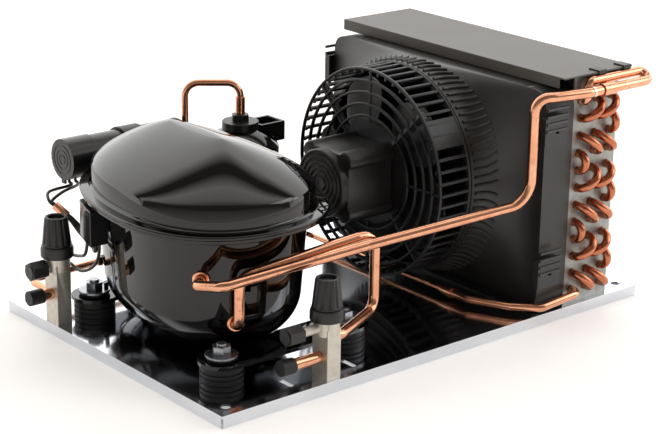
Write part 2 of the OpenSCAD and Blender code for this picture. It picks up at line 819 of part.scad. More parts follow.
module crankshaft() color("lightgray") in_shell() {
    translate([0, 0, stator_z - winding_h / 2])
        cylinder(r = journal_r, h = web_z - stator_z + winding_h / 2 + web_h / 2);
    translate([0, 0, stator_z]) cylinder(r = stator_bore - rotor_gap, h = stator_h);
    translate([0, 0, web_z]) cylinder(r = web_r, h = web_h);
    translate([throw, 0, web_z + web_h / 2]) cylinder(r = pin_r, h = web_h / 2 + pin_h);
}

module compressor_frame() color("gray") in_shell() difference() {
    union() {
        translate([0, 0, stator_top]) difference() {
            cylinder(r = stator_r, h = frame_gap_h + frame_t);
            translate([0, 0, -over]) cylinder(r = stator_r - frame_wall, h = frame_gap_h + over);
        }
        translate([0, 0, stator_top + clear_gap])
            cylinder(r = bearing_r, h = frame_top + bearing_top - stator_top - clear_gap);
        translate([-block_half, -block_y - block_l, frame_z])
            cube([2 * block_half, block_l, piston_z + block_half - frame_z]);
    }
    translate([0, 0, stator_top - over])
        cylinder(r = journal_r + run_gap, h = frame_top + bearing_top - stator_top + 2 * over);
    translate([0, -block_y + over, piston_z]) rotate([90, 0, 0])
        cylinder(r = bore_r + run_gap, h = block_l + 2 * over);
}

module cylinder_head() color("gray") in_shell() translate([0, -block_y - block_l - seat_gap, piston_z])
    difference() {
    translate([-block_half, -head_t, -block_half]) cube([2 * block_half, head_t, 2 * block_half]);
    for (i = [-1, 1]) for (j = [-1, 1])
        translate([i * (block_half - bolt_in), over, j * (block_half - bolt_in)])
        rotate([90, 0, 0]) cylinder(r = bolt_r, h = head_t + 2 * over);
}

// Piston and rod in one, its big end open by the throw of the crank pin
module piston() color("silver") in_shell() translate([0, 0, piston_z]) {
    translate([0, -piston_y, 0]) rotate([90, 0, 0]) cylinder(r = bore_r, h = piston_l);
    translate([0, 0, -rod_t / 2]) difference() {
        union() {
            cylinder(r = throw + pin_r + rod_gap + rod_ring, h = rod_t);
            translate([-rod_t / 2, -piston_y - over, 0]) cube([rod_t, piston_y, rod_t]);
        }
        translate([0, 0, -over]) cylinder(r = throw + pin_r + rod_gap, h = rod_t + 2 * over);
    }
}

module frame_springs() color("silver") in_shell() for (i = [-1, 1]) for (j = [-1, 1])
    translate([i * spring_x, j * spring_y, floor_z]) difference() {
        cylinder(r = spring_r, h = stator_rise - winding_h - seat_gap);
        translate([0, 0, -over]) cylinder(r = spring_r - spring_wall, h = stator_rise + 2 * over);
    }

module along_x(x, y, z) translate([x, y, z]) rotate([0, 90, 0]) children();

module capacitor() color("black") along_x(cap_x + cap_cover_l, cap_y, cap_z) {
    cylinder(r = cap_r, h = cap_l);
    translate([0, 0, cap_l - cap_bead]) cylinder(r = cap_r + cap_cover_t / 2, h = cap_bead / 2);
}
module capacitor_cover() color("black") along_x(cap_x, cap_y, cap_z) {
    difference() {
        cylinder(r = cap_r + cap_cover_t, h = cap_cover_l);
        translate([0, 0, cap_cover_t]) cylinder(r = cap_r - cap_cover_t, h = cap_cover_l);
        for (i = [1 : 3]) translate([0, 0, -over]) difference() {
            cylinder(r = cap_r * i / 4 + cap_cover_t / 2, h = over + cap_cover_t / 2);
            translate([0, 0, -over]) cylinder(r = cap_r * i / 4 - cap_cover_t / 2, h = cap_cover_l);
        }
    }
    translate([cap_r - cap_cover_t, -cap_tab / 2, 0]) cube([cap_tab, cap_tab, cap_tab_t]);
}
module capacitor_bracket() color("black") {
    along_x(strap_x, cap_y, cap_z) difference() {
        cylinder(r = cap_r + seat_gap + strap_t, h = strap_w);
        translate([0, 0, -over]) cylinder(r = cap_r + seat_gap, h = strap_w + 2 * over);
    }
    translate([strap_x, cap_y - strap_in, base_h])
        cube([strap_w, strap_t, cap_z - base_h - sqrt(pow(cap_r + strap_t, 2) - pow(strap_in, 2))]);
    difference() {
        translate([strap_x, cap_y - strap_in, base_h]) cube([strap_w, strap_foot, strap_t]);
        translate([strap_x + strap_w / 2, cap_y - strap_in - strap_t / 2 + strap_foot / 2, base_h - over])
            cylinder(r = screw_r + run_gap, h = strap_t + 2 * over);
    }
}
module capacitor_leads() color("black") for (p = CAP_LEADS) lead(p, lead_r);
module terminal_leads() color("black") {
    for (p = CABLES) lead(p, cable_r);
    for (p = LEADS) lead(p, lead_r);
}
module lead_ferrule() color("peru") translate([comp_x, comp_y, seam_z]) run(FERRULE[0], FERRULE[1], ferrule_r);

// Round tank with low domes, drawn as half its section
function dome(h, r) = (r * r + h * h) / 2 / h;
module tank(grow) {
    top_r = dome(receiver_up, receiver_r + seat_gap);
    low_r = dome(receiver_down, receiver_r + seat_gap);
    wide = receiver_r + grow;
    translate([0, receiver_z + receiver_down]) square([wide, receiver_h - receiver_up - receiver_down]);
    intersection() {
        translate([0, receiver_top - receiver_up]) square([wide, receiver_up + grow + over]);
        translate([0, receiver_top - top_r]) circle(r = top_r + grow, $fn = 96);
    }
    intersection() {
        translate([0, receiver_z - grow - over]) square([wide, receiver_down + grow + over]);
        translate([0, receiver_z + low_r]) circle(r = low_r + grow, $fn = 96);
    }
}
module on_receiver() translate([receiver_x, receiver_y, 0]) children();

module receiver() color("black") on_receiver() rotate_extrude($fn = 64) difference() {
    tank(0);
    tank(-receiver_wall);
    translate([0, receiver_top / 2]) square([liquid_r, receiver_top]);
}
module receiver_foot() color("black") on_receiver() difference() {
    translate([0, 0, base_h]) cylinder(r = ring_foot_r, h = receiver_rise + receiver_down / 2);
    translate([0, 0, base_h + ring_foot_t])
        cylinder(r = ring_foot_r - receiver_wall, h = receiver_rise + receiver_down);
    rotate_extrude($fn = 64) tank(seat_gap);
    translate([0, 0, base_h - over]) cylinder(r = screw_r + run_gap, h = ring_foot_t + 2 * over);
}
module receiver_fitting() color("black") on_receiver() difference() {
    union() {
        translate([0, 0, receiver_top - fitting_h]) cylinder(r = fitting_r, h = 2 * fitting_h);
        translate([0, 0, receiver_top + fitting_h]) cylinder(r = fitting_nut_r, h = fitting_nut_h, $fn = 6);
    }
    rotate_extrude($fn = 64) tank(seat_gap);
    translate([0, 0, receiver_top - fitting_h])
        cylinder(r = liquid_r + run_gap, h = 3 * fitting_h + fitting_nut_h);
}
module receiver_clamp() color("black") on_receiver() difference() {
    translate([clamp_x, -clamp_w / 2, receiver_top - clamp_h]) cube([clamp_l, clamp_w, clamp_h]);
    translate([clamp_x + clamp_t, -clamp_w / 2 + clamp_t, receiver_top - clamp_h - over])
        cube([clamp_l - 2 * clamp_t, clamp_w - 2 * clamp_t, clamp_h + 2 * over]);
    rotate_extrude($fn = 64) tank(seat_gap);
    translate([0, 0, receiver_top - fitting_h - over])
        cylinder(r = fitting_r + seat_gap, h = 2 * fitting_h + 2 * over);
}

liquid_in = liquid_y + valve_y / 2;
module liquid_pipe() color("peru") pipe([[receiver_x, receiver_y, receiver_top - receiver_wall],
    [receiver_x, receiver_y, loop_top], [loop_x, loop_y, loop_top], [loop_x, loop_y, loop_low],
    [liquid_x, loop_turn_y, loop_low], [liquid_x, liquid_in, loop_low]], liquid_r, pipe_bend, thin_sides);

// Service valve with its round collar, threaded neck and side port
module valve(x, y, top, port_drop, port_at, stub_z, pipe_z, pipe_side) translate([x, y, 0]) difference() {
    union() {
        translate([-valve_x / 2, -valve_y / 2, base_h]) cube([valve_x, valve_y, top - base_h - collar_h / 2]);
        translate([0, 0, top - collar_h]) cylinder(r = collar_r, h = collar_h);
        translate([0, 0, top - over]) cylinder(r = valve_neck_r, h = neck_h + over);
        translate([0, 0, top - port_drop]) rotate([0, -90, 0])
            cylinder(r = port_stem, h = port_at + port_in - clear_gap);
    }
    translate([0, 0, top - spindle_in]) cylinder(r = spindle_r + run_gap, h = spindle_in + neck_h + over);
    translate([0, 0, stub_z]) cylinder(r = passage_r, h = top - spindle_in - stub_z + over);
    translate([0, 0, stub_z]) rotate([0, -90, 0]) cylinder(r = passage_r, h = valve_x);
    translate([0, 0, pipe_z]) rotate([0, 90, pipe_side]) cylinder(r = passage_r, h = valve_y);
    translate([-collar_r / 2, 0, top - port_drop]) rotate([0, -90, 0])
        cylinder(r = port_bore, h = port_at + port_in);
    translate([0, 0, base_h - over]) cylinder(r = screw_r + run_gap, h = screw_grip + 2 * over);
}
module spindle(x, y, top) translate([x, y, top - spindle_in + clear_gap]) {
    cylinder(r = spindle_r, h = spindle_in + neck_h - spindle_out);
    translate([-spindle_sq / 2, -spindle_sq / 2, spindle_in + neck_h - spindle_out - over])
        cube([spindle_sq, spindle_sq, spindle_sq_h + over]);
}
module valve_cap(x, y, top) translate([x, y, top + clear_gap]) difference() {
    union() {
        cylinder(r = skirt_r, h = cap_skirt_h);
        cylinder(r = grip_r, h = cap_skirt_h + grip_h);
    }
    translate([0, 0, -over]) cylinder(r = valve_neck_r + clear_gap, h = cap_room + over);
    for (i = [0 : flutes - 1]) rotate(360 * i / flutes) translate([grip_r, 0, cap_skirt_h + over])
        cylinder(r = flute_r, h = grip_h);
}
module port_cap(x, y, top, port_drop, port_at) translate([x - port_at, y, top - port_drop])
    rotate([0, -90, 0]) difference() {
    union() {
        cylinder(r = port_r, h = port_l, $fn = 6);
        translate([0, 0, port_l]) cylinder(r = port_face_r, h = port_face_h);
    }
    translate([0, 0, -over]) cylinder(r = port_stem + clear_gap, h = port_in + over);
}
module stub(x, y, z, l) translate([x - valve_x / 2, y, z]) rotate([0, -90, 0]) difference() {
    cylinder(r = stub_r, h = l);
    translate([0, 0, -over]) cylinder(r = stub_bore, h = l + 2 * over);
}
module plug(x, y, z, l) translate([x - valve_x / 2 - l + plug_in, y, z]) rotate([0, -90, 0]) difference() {
    cylinder(r = plug_r, h = plug_l);
    translate([0, 0, -over]) cylinder(r = stub_r + clear_gap, h = plug_in + clear_gap + over);
}

module liquid_valve() color("gainsboro")
    valve(liquid_x, liquid_y, liquid_top, liquid_port_drop, liquid_port_at, liquid_stub_z, loop_low, 90);
module liquid_cap() color("black") valve_cap(liquid_x, liquid_y, liquid_top);
module liquid_spindle() color("silver") spindle(liquid_x, liquid_y, liquid_top);
module liquid_port_cap() color("black")
    port_cap(liquid_x, liquid_y, liquid_top, liquid_port_drop, liquid_port_at);
module liquid_plug() color("black") plug(liquid_x, liquid_y, liquid_stub_z, liquid_stub_l);
module suction_valve() color("gainsboro")
    valve(suction_x, suction_y, suction_top, suction_port_drop, suction_port_at, suction_stub_z,
        suction_pipe_z, 0);
module suction_cap() color("black") valve_cap(suction_x, suction_y, suction_top);
module suction_spindle() color("silver") spindle(suction_x, suction_y, suction_top);
module suction_port_cap() color("black")
    port_cap(suction_x, suction_y, suction_top, suction_port_drop, suction_port_at);
module suction_plug() color("black") plug(suction_x, suction_y, suction_stub_z, suction_stub_l);
module valve_stubs() color("peru") {
    stub(liquid_x, liquid_y, liquid_stub_z, liquid_stub_l);
    stub(suction_x, suction_y, suction_stub_z, suction_stub_l);
}

suction_p0 = stub_start(suction_turn, suction_start_z);
suction_p1 = suction_p0 + out(suction_turn, suction_start_z) * stub_out;
suction_end = suction_x + valve_x / 2;
module suction_pipe() color("peru") pipe([suction_p0, suction_p1, [suction_p1.x, suction_p1.y, suction_up_z],
    [suction_leg_x - suction_run, suction_leg_y + suction_bow, suction_over_z],
        [suction_leg_x, suction_leg_y, suction_over_z],
    [suction_leg_x, suction_leg_y, suction_pipe_z - suction_bow],
        [suction_end + suction_enter, suction_y, suction_pipe_z],
    [suction_end, suction_y, suction_pipe_z]], pipe_r, pipe_bend);

discharge_p0 = stub_start(discharge_turn, discharge_z);
discharge_p1 = discharge_p0 + out(discharge_turn, discharge_z) * stub_out;
hairpin = norm([main_y - return_y, return_z - main_z]) / 2;
module discharge_pipe() color("peru")
    pipe([discharge_p0, discharge_p1, [discharge_x1, discharge_y1, discharge_z + discharge_up],
    [discharge_x2, discharge_y2, discharge_z2], [riser_x, riser_y, riser_z], [riser_x, riser_y, main_z],
    [riser_x + top_turn_x, riser_y - top_turn_y, main_z], [main_x1, main_y, main_z],
        [main_x2 + hairpin, main_y, main_z],
    [main_x2 + hairpin, return_y, return_z], [inlet_x, return_y, return_z], [inlet_x, return_y, inlet_z],
    [inlet_x, coil_y0 - tube_end, inlet_z]], pipe_r,
    [0, pipe_bend / 2, pipe_bend / 2, pipe_bend, riser_bend, pipe_bend, pipe_bend, pipe_bend, hairpin,
        hairpin,
    return_bend, return_bend]);

module condenser_line() color("peru") {
    pipe([[inlet_x, coil_y0 - tube_end, row_z0], [inlet_x, outlet_y, row_z0], [wall_x, outlet_mid_y, line_z],
        [line_in_x, line_in_y, line_z], [line_x, line_near_y, line_z], [line_x, reduce_y - seat_gap, line_z]],
        outlet_r, outlet_bend, thin_sides);
    pipe([[line_x, reduce_y, line_z], [line_x, receiver_y, line_z],
        [receiver_x + receiver_r + receiver_in_l, receiver_y, receiver_in_z],
        [receiver_x + receiver_r + seat_gap, receiver_y, receiver_in_z]], line_r, outlet_bend, thin_sides);
}
module pipe_sleeves() color("peru") {
    run([main_x1 + sleeve_dx, main_y, main_z], [main_x1 + sleeve_dx + sleeve_l, main_y, main_z],
        pipe_r + sleeve_gap + sleeve_t, pipe_r + sleeve_gap);
    run([line_x, reduce_y - sleeve_l / 2, line_z], [line_x, reduce_y, line_z],
        outlet_r + sleeve_gap + sleeve_t, outlet_r + sleeve_gap);
    run([line_x, reduce_y, line_z], [line_x, reduce_y + sleeve_l / 2, line_z],
        outlet_r + sleeve_t / 2, line_r + sleeve_gap);
    run([receiver_x, receiver_y, receiver_top + fitting_h + fitting_nut_h],
        [receiver_x, receiver_y, receiver_top + fitting_h + fitting_nut_h + loop_sleeve],
        liquid_r + sleeve_gap + sleeve_t, liquid_r + sleeve_gap);
}

function column(c) = coil_mid + (c - 2) * col_pitch;
function row(k) = row_z0 + (k - 1) * row_pitch;
PLACES = [for (c = [1 : 3]) for (k = [1 : rows]) [column(c), row(k)]];

// Fin pack: comb faces front and rear, drilled for the tubes
module fin_block() color("gray") difference() {
    translate([0, 0, base_h + fin_lift]) linear_extrude(coil_h - fin_lift - fin_drop) {
        translate([coil_x0 + fin_in + fin_depth, coil_y0 + plate_t + seat_gap])
            square([coil_d - 2 * fin_in - 2 * fin_depth, coil_w - 2 * plate_t - 2 * seat_gap]);
        for (i = [0 : fin_count])
            translate([coil_x0 + fin_in, coil_y0 + plate_t + seat_gap + fin_groove / 2 + i * fin_pitch])
            square([coil_d - 2 * fin_in, fin_pitch - fin_groove]);
    }
    for (p = PLACES) translate([p[0], coil_y0, p[1]]) rotate([-90, 0, 0])
        cylinder(r = tube_r + tube_gap, h = coil_w, $fn = 24);
}

module end_plates() color("gray") for (s = [0, 1]) difference() {
    union() {
        translate([coil_x0, s * (coil_w - plate_t) + coil_y0, base_h]) cube([coil_d, plate_t, coil_h]);
        translate([coil_x0, s * (coil_w - plate_foot) + coil_y0, base_h]) cube([coil_d, plate_foot, plate_t]);
    }
    for (p = PLACES) translate([p[0], s * (coil_w - plate_t) + coil_y0 - over, p[1]]) rotate([-90, 0, 0])
        cylinder(r = tube_r + 2 * tube_gap, h = plate_t + 2 * over, $fn = 24);
    for (i = [-1, 1]) for (y = [coil_y0 + plate_screw_y, coil_y1 - plate_screw_y])
        translate([coil_mid + i * plate_screw_x, y, base_h - over])
            cylinder(r = screw_r + run_gap, h = plate_t + 2 * over);
}

module hairpin_tubes() color("peru") for (c = [1 : 3]) for (k = [1 : 2 : rows - 1]) {
    for (i = [0, 1]) run([column(c), coil_y0 - tube_end, row(k + i)],
        [column(c), coil_y1 + tube_end, row(k + i)],
        tube_r, tube_r - tube_wall);
    u_bend([column(c), coil_y1 + tube_end, row(k)], [column(c), coil_y1 + tube_end, row(k + 1)],
        [0, 1, 0], tube_r, tube_r - tube_wall);
}

// One run back and forth through all three columns, from the top inlet down
BENDS = concat(
    [for (k = [rows : -4 : 4]) each [[1, k - 1, 2, k], [2, k - 1, 3, k], [3, k - 1, 3, k - 2],
        [3, k - 3, 2, k - 2], [2, k - 3, 1, k - 2]]],
    [for (k = [rows : -4 : 8]) [1, k - 3, 1, k - 4]]);
module return_bends() color("peru") for (b = BENDS)
    u_bend([column(b[0]), coil_y0 - tube_end, row(b[1])], [column(b[2]), coil_y0 - tube_end, row(b[3])],
        [0, -1, 0], tube_r, tube_r - tube_wall);

module top_cover() color("dimgray") {
    x0 = coil_x0 - cover_front;
    l = coil_d + cover_front + cover_rear;
    translate([x0, coil_y0 - cover_near, coil_top]) cube([l, coil_w + cover_near + cover_far, cover_t]);
    for (x = [x0, x0 + l - cover_t]) translate([x, coil_y0 + seat_gap, coil_top - cover_lip])
        cube([cover_t, coil_w + cover_far - seat_gap, cover_lip + cover_t / 2]);
}
module cover_clips() color("dimgray") for (i = [0, 1])
    translate([coil_mid + (i - clip_share) * clip_pitch, coil_y0 - cover_near, coil_top + cover_t]) {
    translate([0, -clip_t - seat_gap, 0]) cube([clip_w, clip_l, clip_t]);
    translate([0, -clip_t - seat_gap, -clip_drop + clip_t]) cube([clip_w, clip_t, clip_drop]);
}

// Ring of the shroud, round at share 0 and the box's outline at share 1
function shroud_ring(x, share, wall) = let(power = 2 + (box_power - 2) * share * share)
    [for (k = [0 : shroud_n - 1])
    let(t = 360 * k / shroud_n, up = drum_r + share * ((t < 180 ? box_up : box_down) - drum_r) - wall,
        wide = drum_r + share * (box_half - drum_r) - wall)
    [x, fan_y + wide * bow(cos(t), power), fan_z + up * bow(sin(t), power)]];
shroud_end = coil_x0 - clear_gap;
module shroud() color("black") loft_wall(concat(
    [for (i = [0 : bell_steps]) let(a = 90 * i / bell_steps)
        shroud_ring(drum_end + bell_d * sin(a), 1 - cos(a), 0)],
    [shroud_ring(shroud_end, 1, 0), shroud_ring(shroud_end, 1, shroud_wall)],
    [for (i = [bell_steps : -1 : 0]) let(a = 90 * i / bell_steps)
        shroud_ring(drum_end + (bell_d + shroud_wall) * sin(a), 1 - cos(a), shroud_wall)]));
module shroud_ears() color("black") for (s = [-1, 1]) for (z = [ear_low, ear_high])
    translate([wall_x - ear_x, fan_y + s * (box_half + ear_t / 2 + seat_gap), z]) difference() {
        translate([0, -ear_t / 2, 0]) cube([ear_l, ear_t, ear_h]);
        translate([ear_l - 2 * ear_x, 0, ear_h / 2]) rotate([90, 0, 0])
            cylinder(r = ear_hole, h = ear_t + 2 * over, center = true);
    }

module on_fan() translate([guard_x, fan_y, fan_z]) rotate([0, 90, 0]) children();
module hoop(r, w, h) difference() {
    cylinder(r = r, h = h, $fn = 72);
    translate([0, 0, -over]) cylinder(r = r - w, h = h + 2 * over, $fn = 72);
}

module fan_guard() color("black") on_fan() {
    for (i = [0 : guard_rings - 1]) hoop(guard_r - i * ring_pitch, ring_w, guard_t);
    translate([0, 0, drum_l - guard_t]) hoop(guard_r, rear_ring_w, guard_t);
    for (i = [0 : rib_count - 1]) rotate(360 * i / rib_count) translate([0, rib_w / 2, 0]) rotate([90, 0, 0])
        linear_extrude(rib_w) {
            translate([guard_r - rib_in, 0]) square([rib_in - ring_w / 2, guard_t - ring_w / 4]);
            translate([guard_r - rib_t, 0]) square([rib_t - ring_w / 4, drum_l - guard_t / 2]);
        }
    for (i = [0 : spokes - 1]) rotate(360 * i / spokes)
        translate([disc_r - arm_over, -spoke_w / 2, ring_w / 4])
        cube([guard_r - disc_r, spoke_w, guard_t - ring_w / 4]);
    for (i = [0 : 3]) rotate(90 * i + 45) translate([disc_r - arm_over, -arm_w / 2, guard_t - arm_over])
        cube([guard_r - disc_r, arm_w, arm_t]);
    rotate(panel_turn - panel_span / 2) rotate_extrude(angle = panel_span)
        translate([guard_r - panel_t - ring_w / 4, ring_w / 4]) square([panel_t, drum_l - ring_w / 2]);
    difference() {
        translate([0, 0, motor_front]) cylinder(r = disc_r, h = arm_t - arm_over);
        translate([0, 0, motor_front - over]) cylinder(r = disc_hole, h = arm_t + 2 * over);
        for (a = [45 : 90 : 315]) rotate(a) translate([mscrew_at, 0, motor_front - over])
            cylinder(r = mscrew_r + run_gap, h = arm_t + 2 * over);
    }
}

module soft_square(w, r) {
    square([w, w - 2 * r], center = true);
    square([w - 2 * r, w], center = true);
    for (i = [-1, 1]) for (j = [-1, 1]) translate([i * (w / 2 - r), j * (w / 2 - r)]) circle(r = r);
}

// Motor case with its ridged end cap
module motor_housing() color("black") on_fan() difference() {
    union() {
        translate([0, 0, motor_back + motor_cap_t]) linear_extrude(motor_l - motor_cap_t)
            soft_square(motor_w, motor_corner);
        translate([0, 0, motor_back]) linear_extrude(motor_cap_t)
            soft_square(motor_w - 2 * groove_t, motor_corner);
    }
    translate([0, 0, motor_back + motor_cap_t])
        cylinder(r = motor_bore, h = motor_l - motor_cap_t - motor_wall);
    translate([0, 0, motor_back + motor_cap_t / 2]) cylinder(r = shaft_r + run_gap, h = motor_l);
    for (i = [0 : grooves - 1]) translate([0, 0, motor_back - over])
        hoop(groove_w + (i + 1) * groove_pitch, groove_w, over + groove_t);
    for (a = [45 : 90 : 315]) rotate(a) translate([mscrew_at, 0, motor_front - mscrew_l - over])
        cylinder(r = mscrew_r + run_gap, h = mscrew_l + 2 * over);
}
mstator_z = motor_back + (motor_l - mstator_l) / 2;
module motor_stator() color("peru") on_fan() {
    difference() {
        translate([0, 0, mstator_z - mwind_h])
            cylinder(r = motor_bore - mwind_h, h = mstator_l + 2 * mwind_h);
        translate([0, 0, mstator_z - mwind_h - over])
            cylinder(r = mstator_in, h = mstator_l + 2 * mwind_h + 2 * over);
    }
    translate([0, 0, mstator_z]) hoop(motor_bore - run_gap, mwind_h + over, mstator_l);
}
module motor_shaft() color("silver") on_fan() {
    translate([0, 0, motor_back + motor_cap_t / 2 + clear_gap])
        cylinder(r = shaft_r, h = hub_z + hub_l - hub_wall - motor_back - motor_cap_t / 2 - 2 * clear_gap);
    translate([0, 0, mstator_z]) cylinder(r = mstator_in - clear_gap, h = mstator_l);
}
module fan_blades() color("dimgray") on_fan() {
    difference() {
        translate([0, 0, hub_z]) cylinder(r = hub_r, h = hub_l);
        translate([0, 0, hub_z - over]) cylinder(r = shaft_r + run_gap, h = hub_l - hub_wall + over);
    }
    for (i = [0 : blades - 1]) rotate(360 * i / blades) intersection() {
        translate([petal_at, 0, hub_z]) cylinder(r = petal_r, h = blade_l);
        translate([fan_r / 2 + hub_wall, 0, hub_z + blade_l / 2 - hub_wall]) rotate([blade_pitch, 0, 0])
            cube([fan_r, fan_r, blade_t], center = true);
    }
}

base_plate();
foot_studs();
foot_nuts();
foot_sleeves();
foot_grommets();
foot_washers();
foot_plates();
lower_shell();
upper_shell();
pipe_collars();
shell_tabs();
terminal_cover();
terminal_block();
start_relay();
compressor_frame();
cylinder_head();
compressor_stator();
crankshaft();
piston();
frame_springs();
capacitor();
capacitor_cover();
capacitor_bracket();
capacitor_leads();
terminal_leads();
lead_ferrule();
receiver();
receiver_foot();
receiver_fitting();
receiver_clamp();
liquid_pipe();
liquid_valve();
liquid_cap();
liquid_spindle();
liquid_port_cap();
liquid_plug();
suction_valve();
suction_cap();
suction_spindle();
suction_port_cap();
suction_plug();
valve_stubs();
suction_pipe();
discharge_pipe();
condenser_line();
pipe_sleeves();
fin_block();
hairpin_tubes();
return_bends();
end_plates();
top_cover();
cover_clips();
shroud();
shroud_ears();
fan_guard();
motor_housing();
motor_stator();
motor_shaft();
fan_blades();
unit_screws();
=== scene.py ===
# Air cooled condensing unit: the studio, then each piece as the unit is put together.
from math import atan2, ceil, cos, copysign, pi, radians, sin, sqrt, tan
import bmesh
import bpy
from mathutils import Matrix, Vector


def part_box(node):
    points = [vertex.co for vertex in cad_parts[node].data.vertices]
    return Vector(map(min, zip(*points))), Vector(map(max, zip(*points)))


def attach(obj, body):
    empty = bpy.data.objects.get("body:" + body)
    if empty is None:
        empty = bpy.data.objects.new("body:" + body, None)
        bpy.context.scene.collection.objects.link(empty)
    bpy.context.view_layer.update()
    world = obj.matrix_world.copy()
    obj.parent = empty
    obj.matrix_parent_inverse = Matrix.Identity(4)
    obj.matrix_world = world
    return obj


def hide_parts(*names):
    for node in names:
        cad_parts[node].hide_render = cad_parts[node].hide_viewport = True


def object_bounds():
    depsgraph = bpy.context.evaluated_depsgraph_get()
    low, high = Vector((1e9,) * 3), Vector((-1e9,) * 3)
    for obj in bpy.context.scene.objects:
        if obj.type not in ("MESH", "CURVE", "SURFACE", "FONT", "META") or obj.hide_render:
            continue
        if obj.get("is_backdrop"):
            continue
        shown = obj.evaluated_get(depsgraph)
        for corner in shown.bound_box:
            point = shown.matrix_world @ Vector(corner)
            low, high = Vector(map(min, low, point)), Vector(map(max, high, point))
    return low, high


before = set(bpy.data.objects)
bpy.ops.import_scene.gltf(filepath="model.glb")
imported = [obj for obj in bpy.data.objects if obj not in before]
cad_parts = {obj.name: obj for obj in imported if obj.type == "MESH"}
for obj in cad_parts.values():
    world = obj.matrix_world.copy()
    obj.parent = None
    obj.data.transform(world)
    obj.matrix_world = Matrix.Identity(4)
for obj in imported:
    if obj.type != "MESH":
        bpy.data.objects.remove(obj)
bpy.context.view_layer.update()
MM = 0.001

# Studio. A camera stands low at the unit's service corner, over a lit white
# table. The room is bright behind, with one long overhead strip and dark on
# both sides of it, so that the black enamel shows two bands.
camera_place = Vector((-966.99, -1146.57, 576.74)) * MM
camera_yaw = radians(40.17)
camera_pitch = radians(18.41)
camera_roll = radians(0.91)
photo_width = 660
focal_pixels = 1871.57
look = Vector((sin(camera_yaw) * cos(camera_pitch), cos(camera_yaw) * cos(camera_pitch), -sin(camera_pitch)))
level = Vector((cos(camera_yaw), -sin(camera_yaw), 0))
rise = level.cross(look)
right = level * cos(camera_roll) + rise * sin(camera_roll)
upward = rise * cos(camera_roll) - level * sin(camera_roll)
camera = bpy.data.objects.new("photo_camera", bpy.data.cameras.new("photo_camera"))
camera.data.sensor_width = 36
camera.data.lens = focal_pixels / photo_width * camera.data.sensor_width
camera.data.clip_end = 50
camera.matrix_world = Matrix.Translation(camera_place) @ Matrix((right, upward, -look)).transposed().to_4x4()
bpy.context.collection.objects.link(camera)
bpy.context.scene.camera = camera
bpy.context.scene.view_settings.view_transform = "Standard"


def srgb(code):
    """Linear colour of an sRGB hex value."""
    parts = [int(code[i:i + 2], 16) / 255 for i in (0, 2, 4)]
    return tuple(c / 12.92 if c < 0.04045 else ((c + 0.055) / 1.055) ** 2.4 for c in parts) + (1,)


def add(tree, kind, sockets=None, **settings):
    """Adds a shader node with its settings, and sets or links its sockets."""
    node = tree.nodes.new("ShaderNode" + kind)
    for key, value in settings.items():
        setattr(node, key, value)
    for key, value in (sockets or {}).items():
        if isinstance(value, bpy.types.NodeSocket):
            tree.links.new(value, node.inputs[key])
        else:
            node.inputs[key].default_value = value
    return node


def soften(ramp, stops):
    """Gives a colour ramp its stops, as (place, colour) pairs."""
    while len(ramp.elements) < len(stops):
        ramp.elements.new(0.5)
    for element, (place, colour) in zip(ramp.elements, stops):
        element.position = place
        element.color = colour


def soft_box(name, place, aim, width, height, radiance):
    """Rectangular studio light whose face has the given brightness."""
    lamp = bpy.data.lights.new(name, "AREA")
    lamp.shape = "RECTANGLE"
    lamp.size = width
    lamp.size_y = height
    lamp.energy = radiance * pi * width * height
    box = bpy.data.objects.new(name, lamp)
    box.location = place
    box.rotation_euler = (aim - place).to_track_quat("-Z", "Y").to_euler()
    bpy.context.collection.objects.link(box)


studio_aim = Vector((-100, 0, 100)) * MM
soft_box_place = studio_aim + level * 1.6 + Vector((0, 0, 0.75))
soft_box("side_soft_box", soft_box_place, studio_aim, width=0.8, height=0.9, radiance=2.4)

# The room's stops run from level behind the unit, over the top, to level in front.
backdrop_way = Vector((sin(camera_yaw), cos(camera_yaw), 0))
room_stops = [(0.0, "FFFFFF"), (0.3, "FFFDFB"), (0.35, "4A4846"), (0.38, "4A4846"), (0.43, "F4F1EE"),
              (0.5, "DAD7D4"), (0.58, "5A5755"), (0.85, "5A5755"), (1.0, "B4B1AE")]
room_strength = 2.0
world = bpy.data.worlds.new("white_room")
bpy.context.scene.world = world
world.use_nodes = True
room = world.node_tree
direction = add(room, "TexCoord").outputs["Generated"]
height = add(room, "SeparateXYZ", {"Vector": direction}).outputs["Z"]
behind = add(room, "VectorMath", {0: direction, 1: backdrop_way}, operation="DOT_PRODUCT").outputs["Value"]
over = add(room, "Math", {0: height, 1: behind}, operation="ARCTAN2").outputs["Value"]
half_turns = add(room, "Math", {0: over, 1: 1 / pi}, operation="MULTIPLY").outputs["Value"]
sky = add(room, "ValToRGB", {"Fac": half_turns})
soften(sky.color_ramp, [(place, srgb(code)) for place, code in room_stops])
room.links.new(sky.outputs["Color"], room.nodes["Background"].inputs["Color"])
room.nodes["Background"].inputs["Strength"].default_value = room_strength

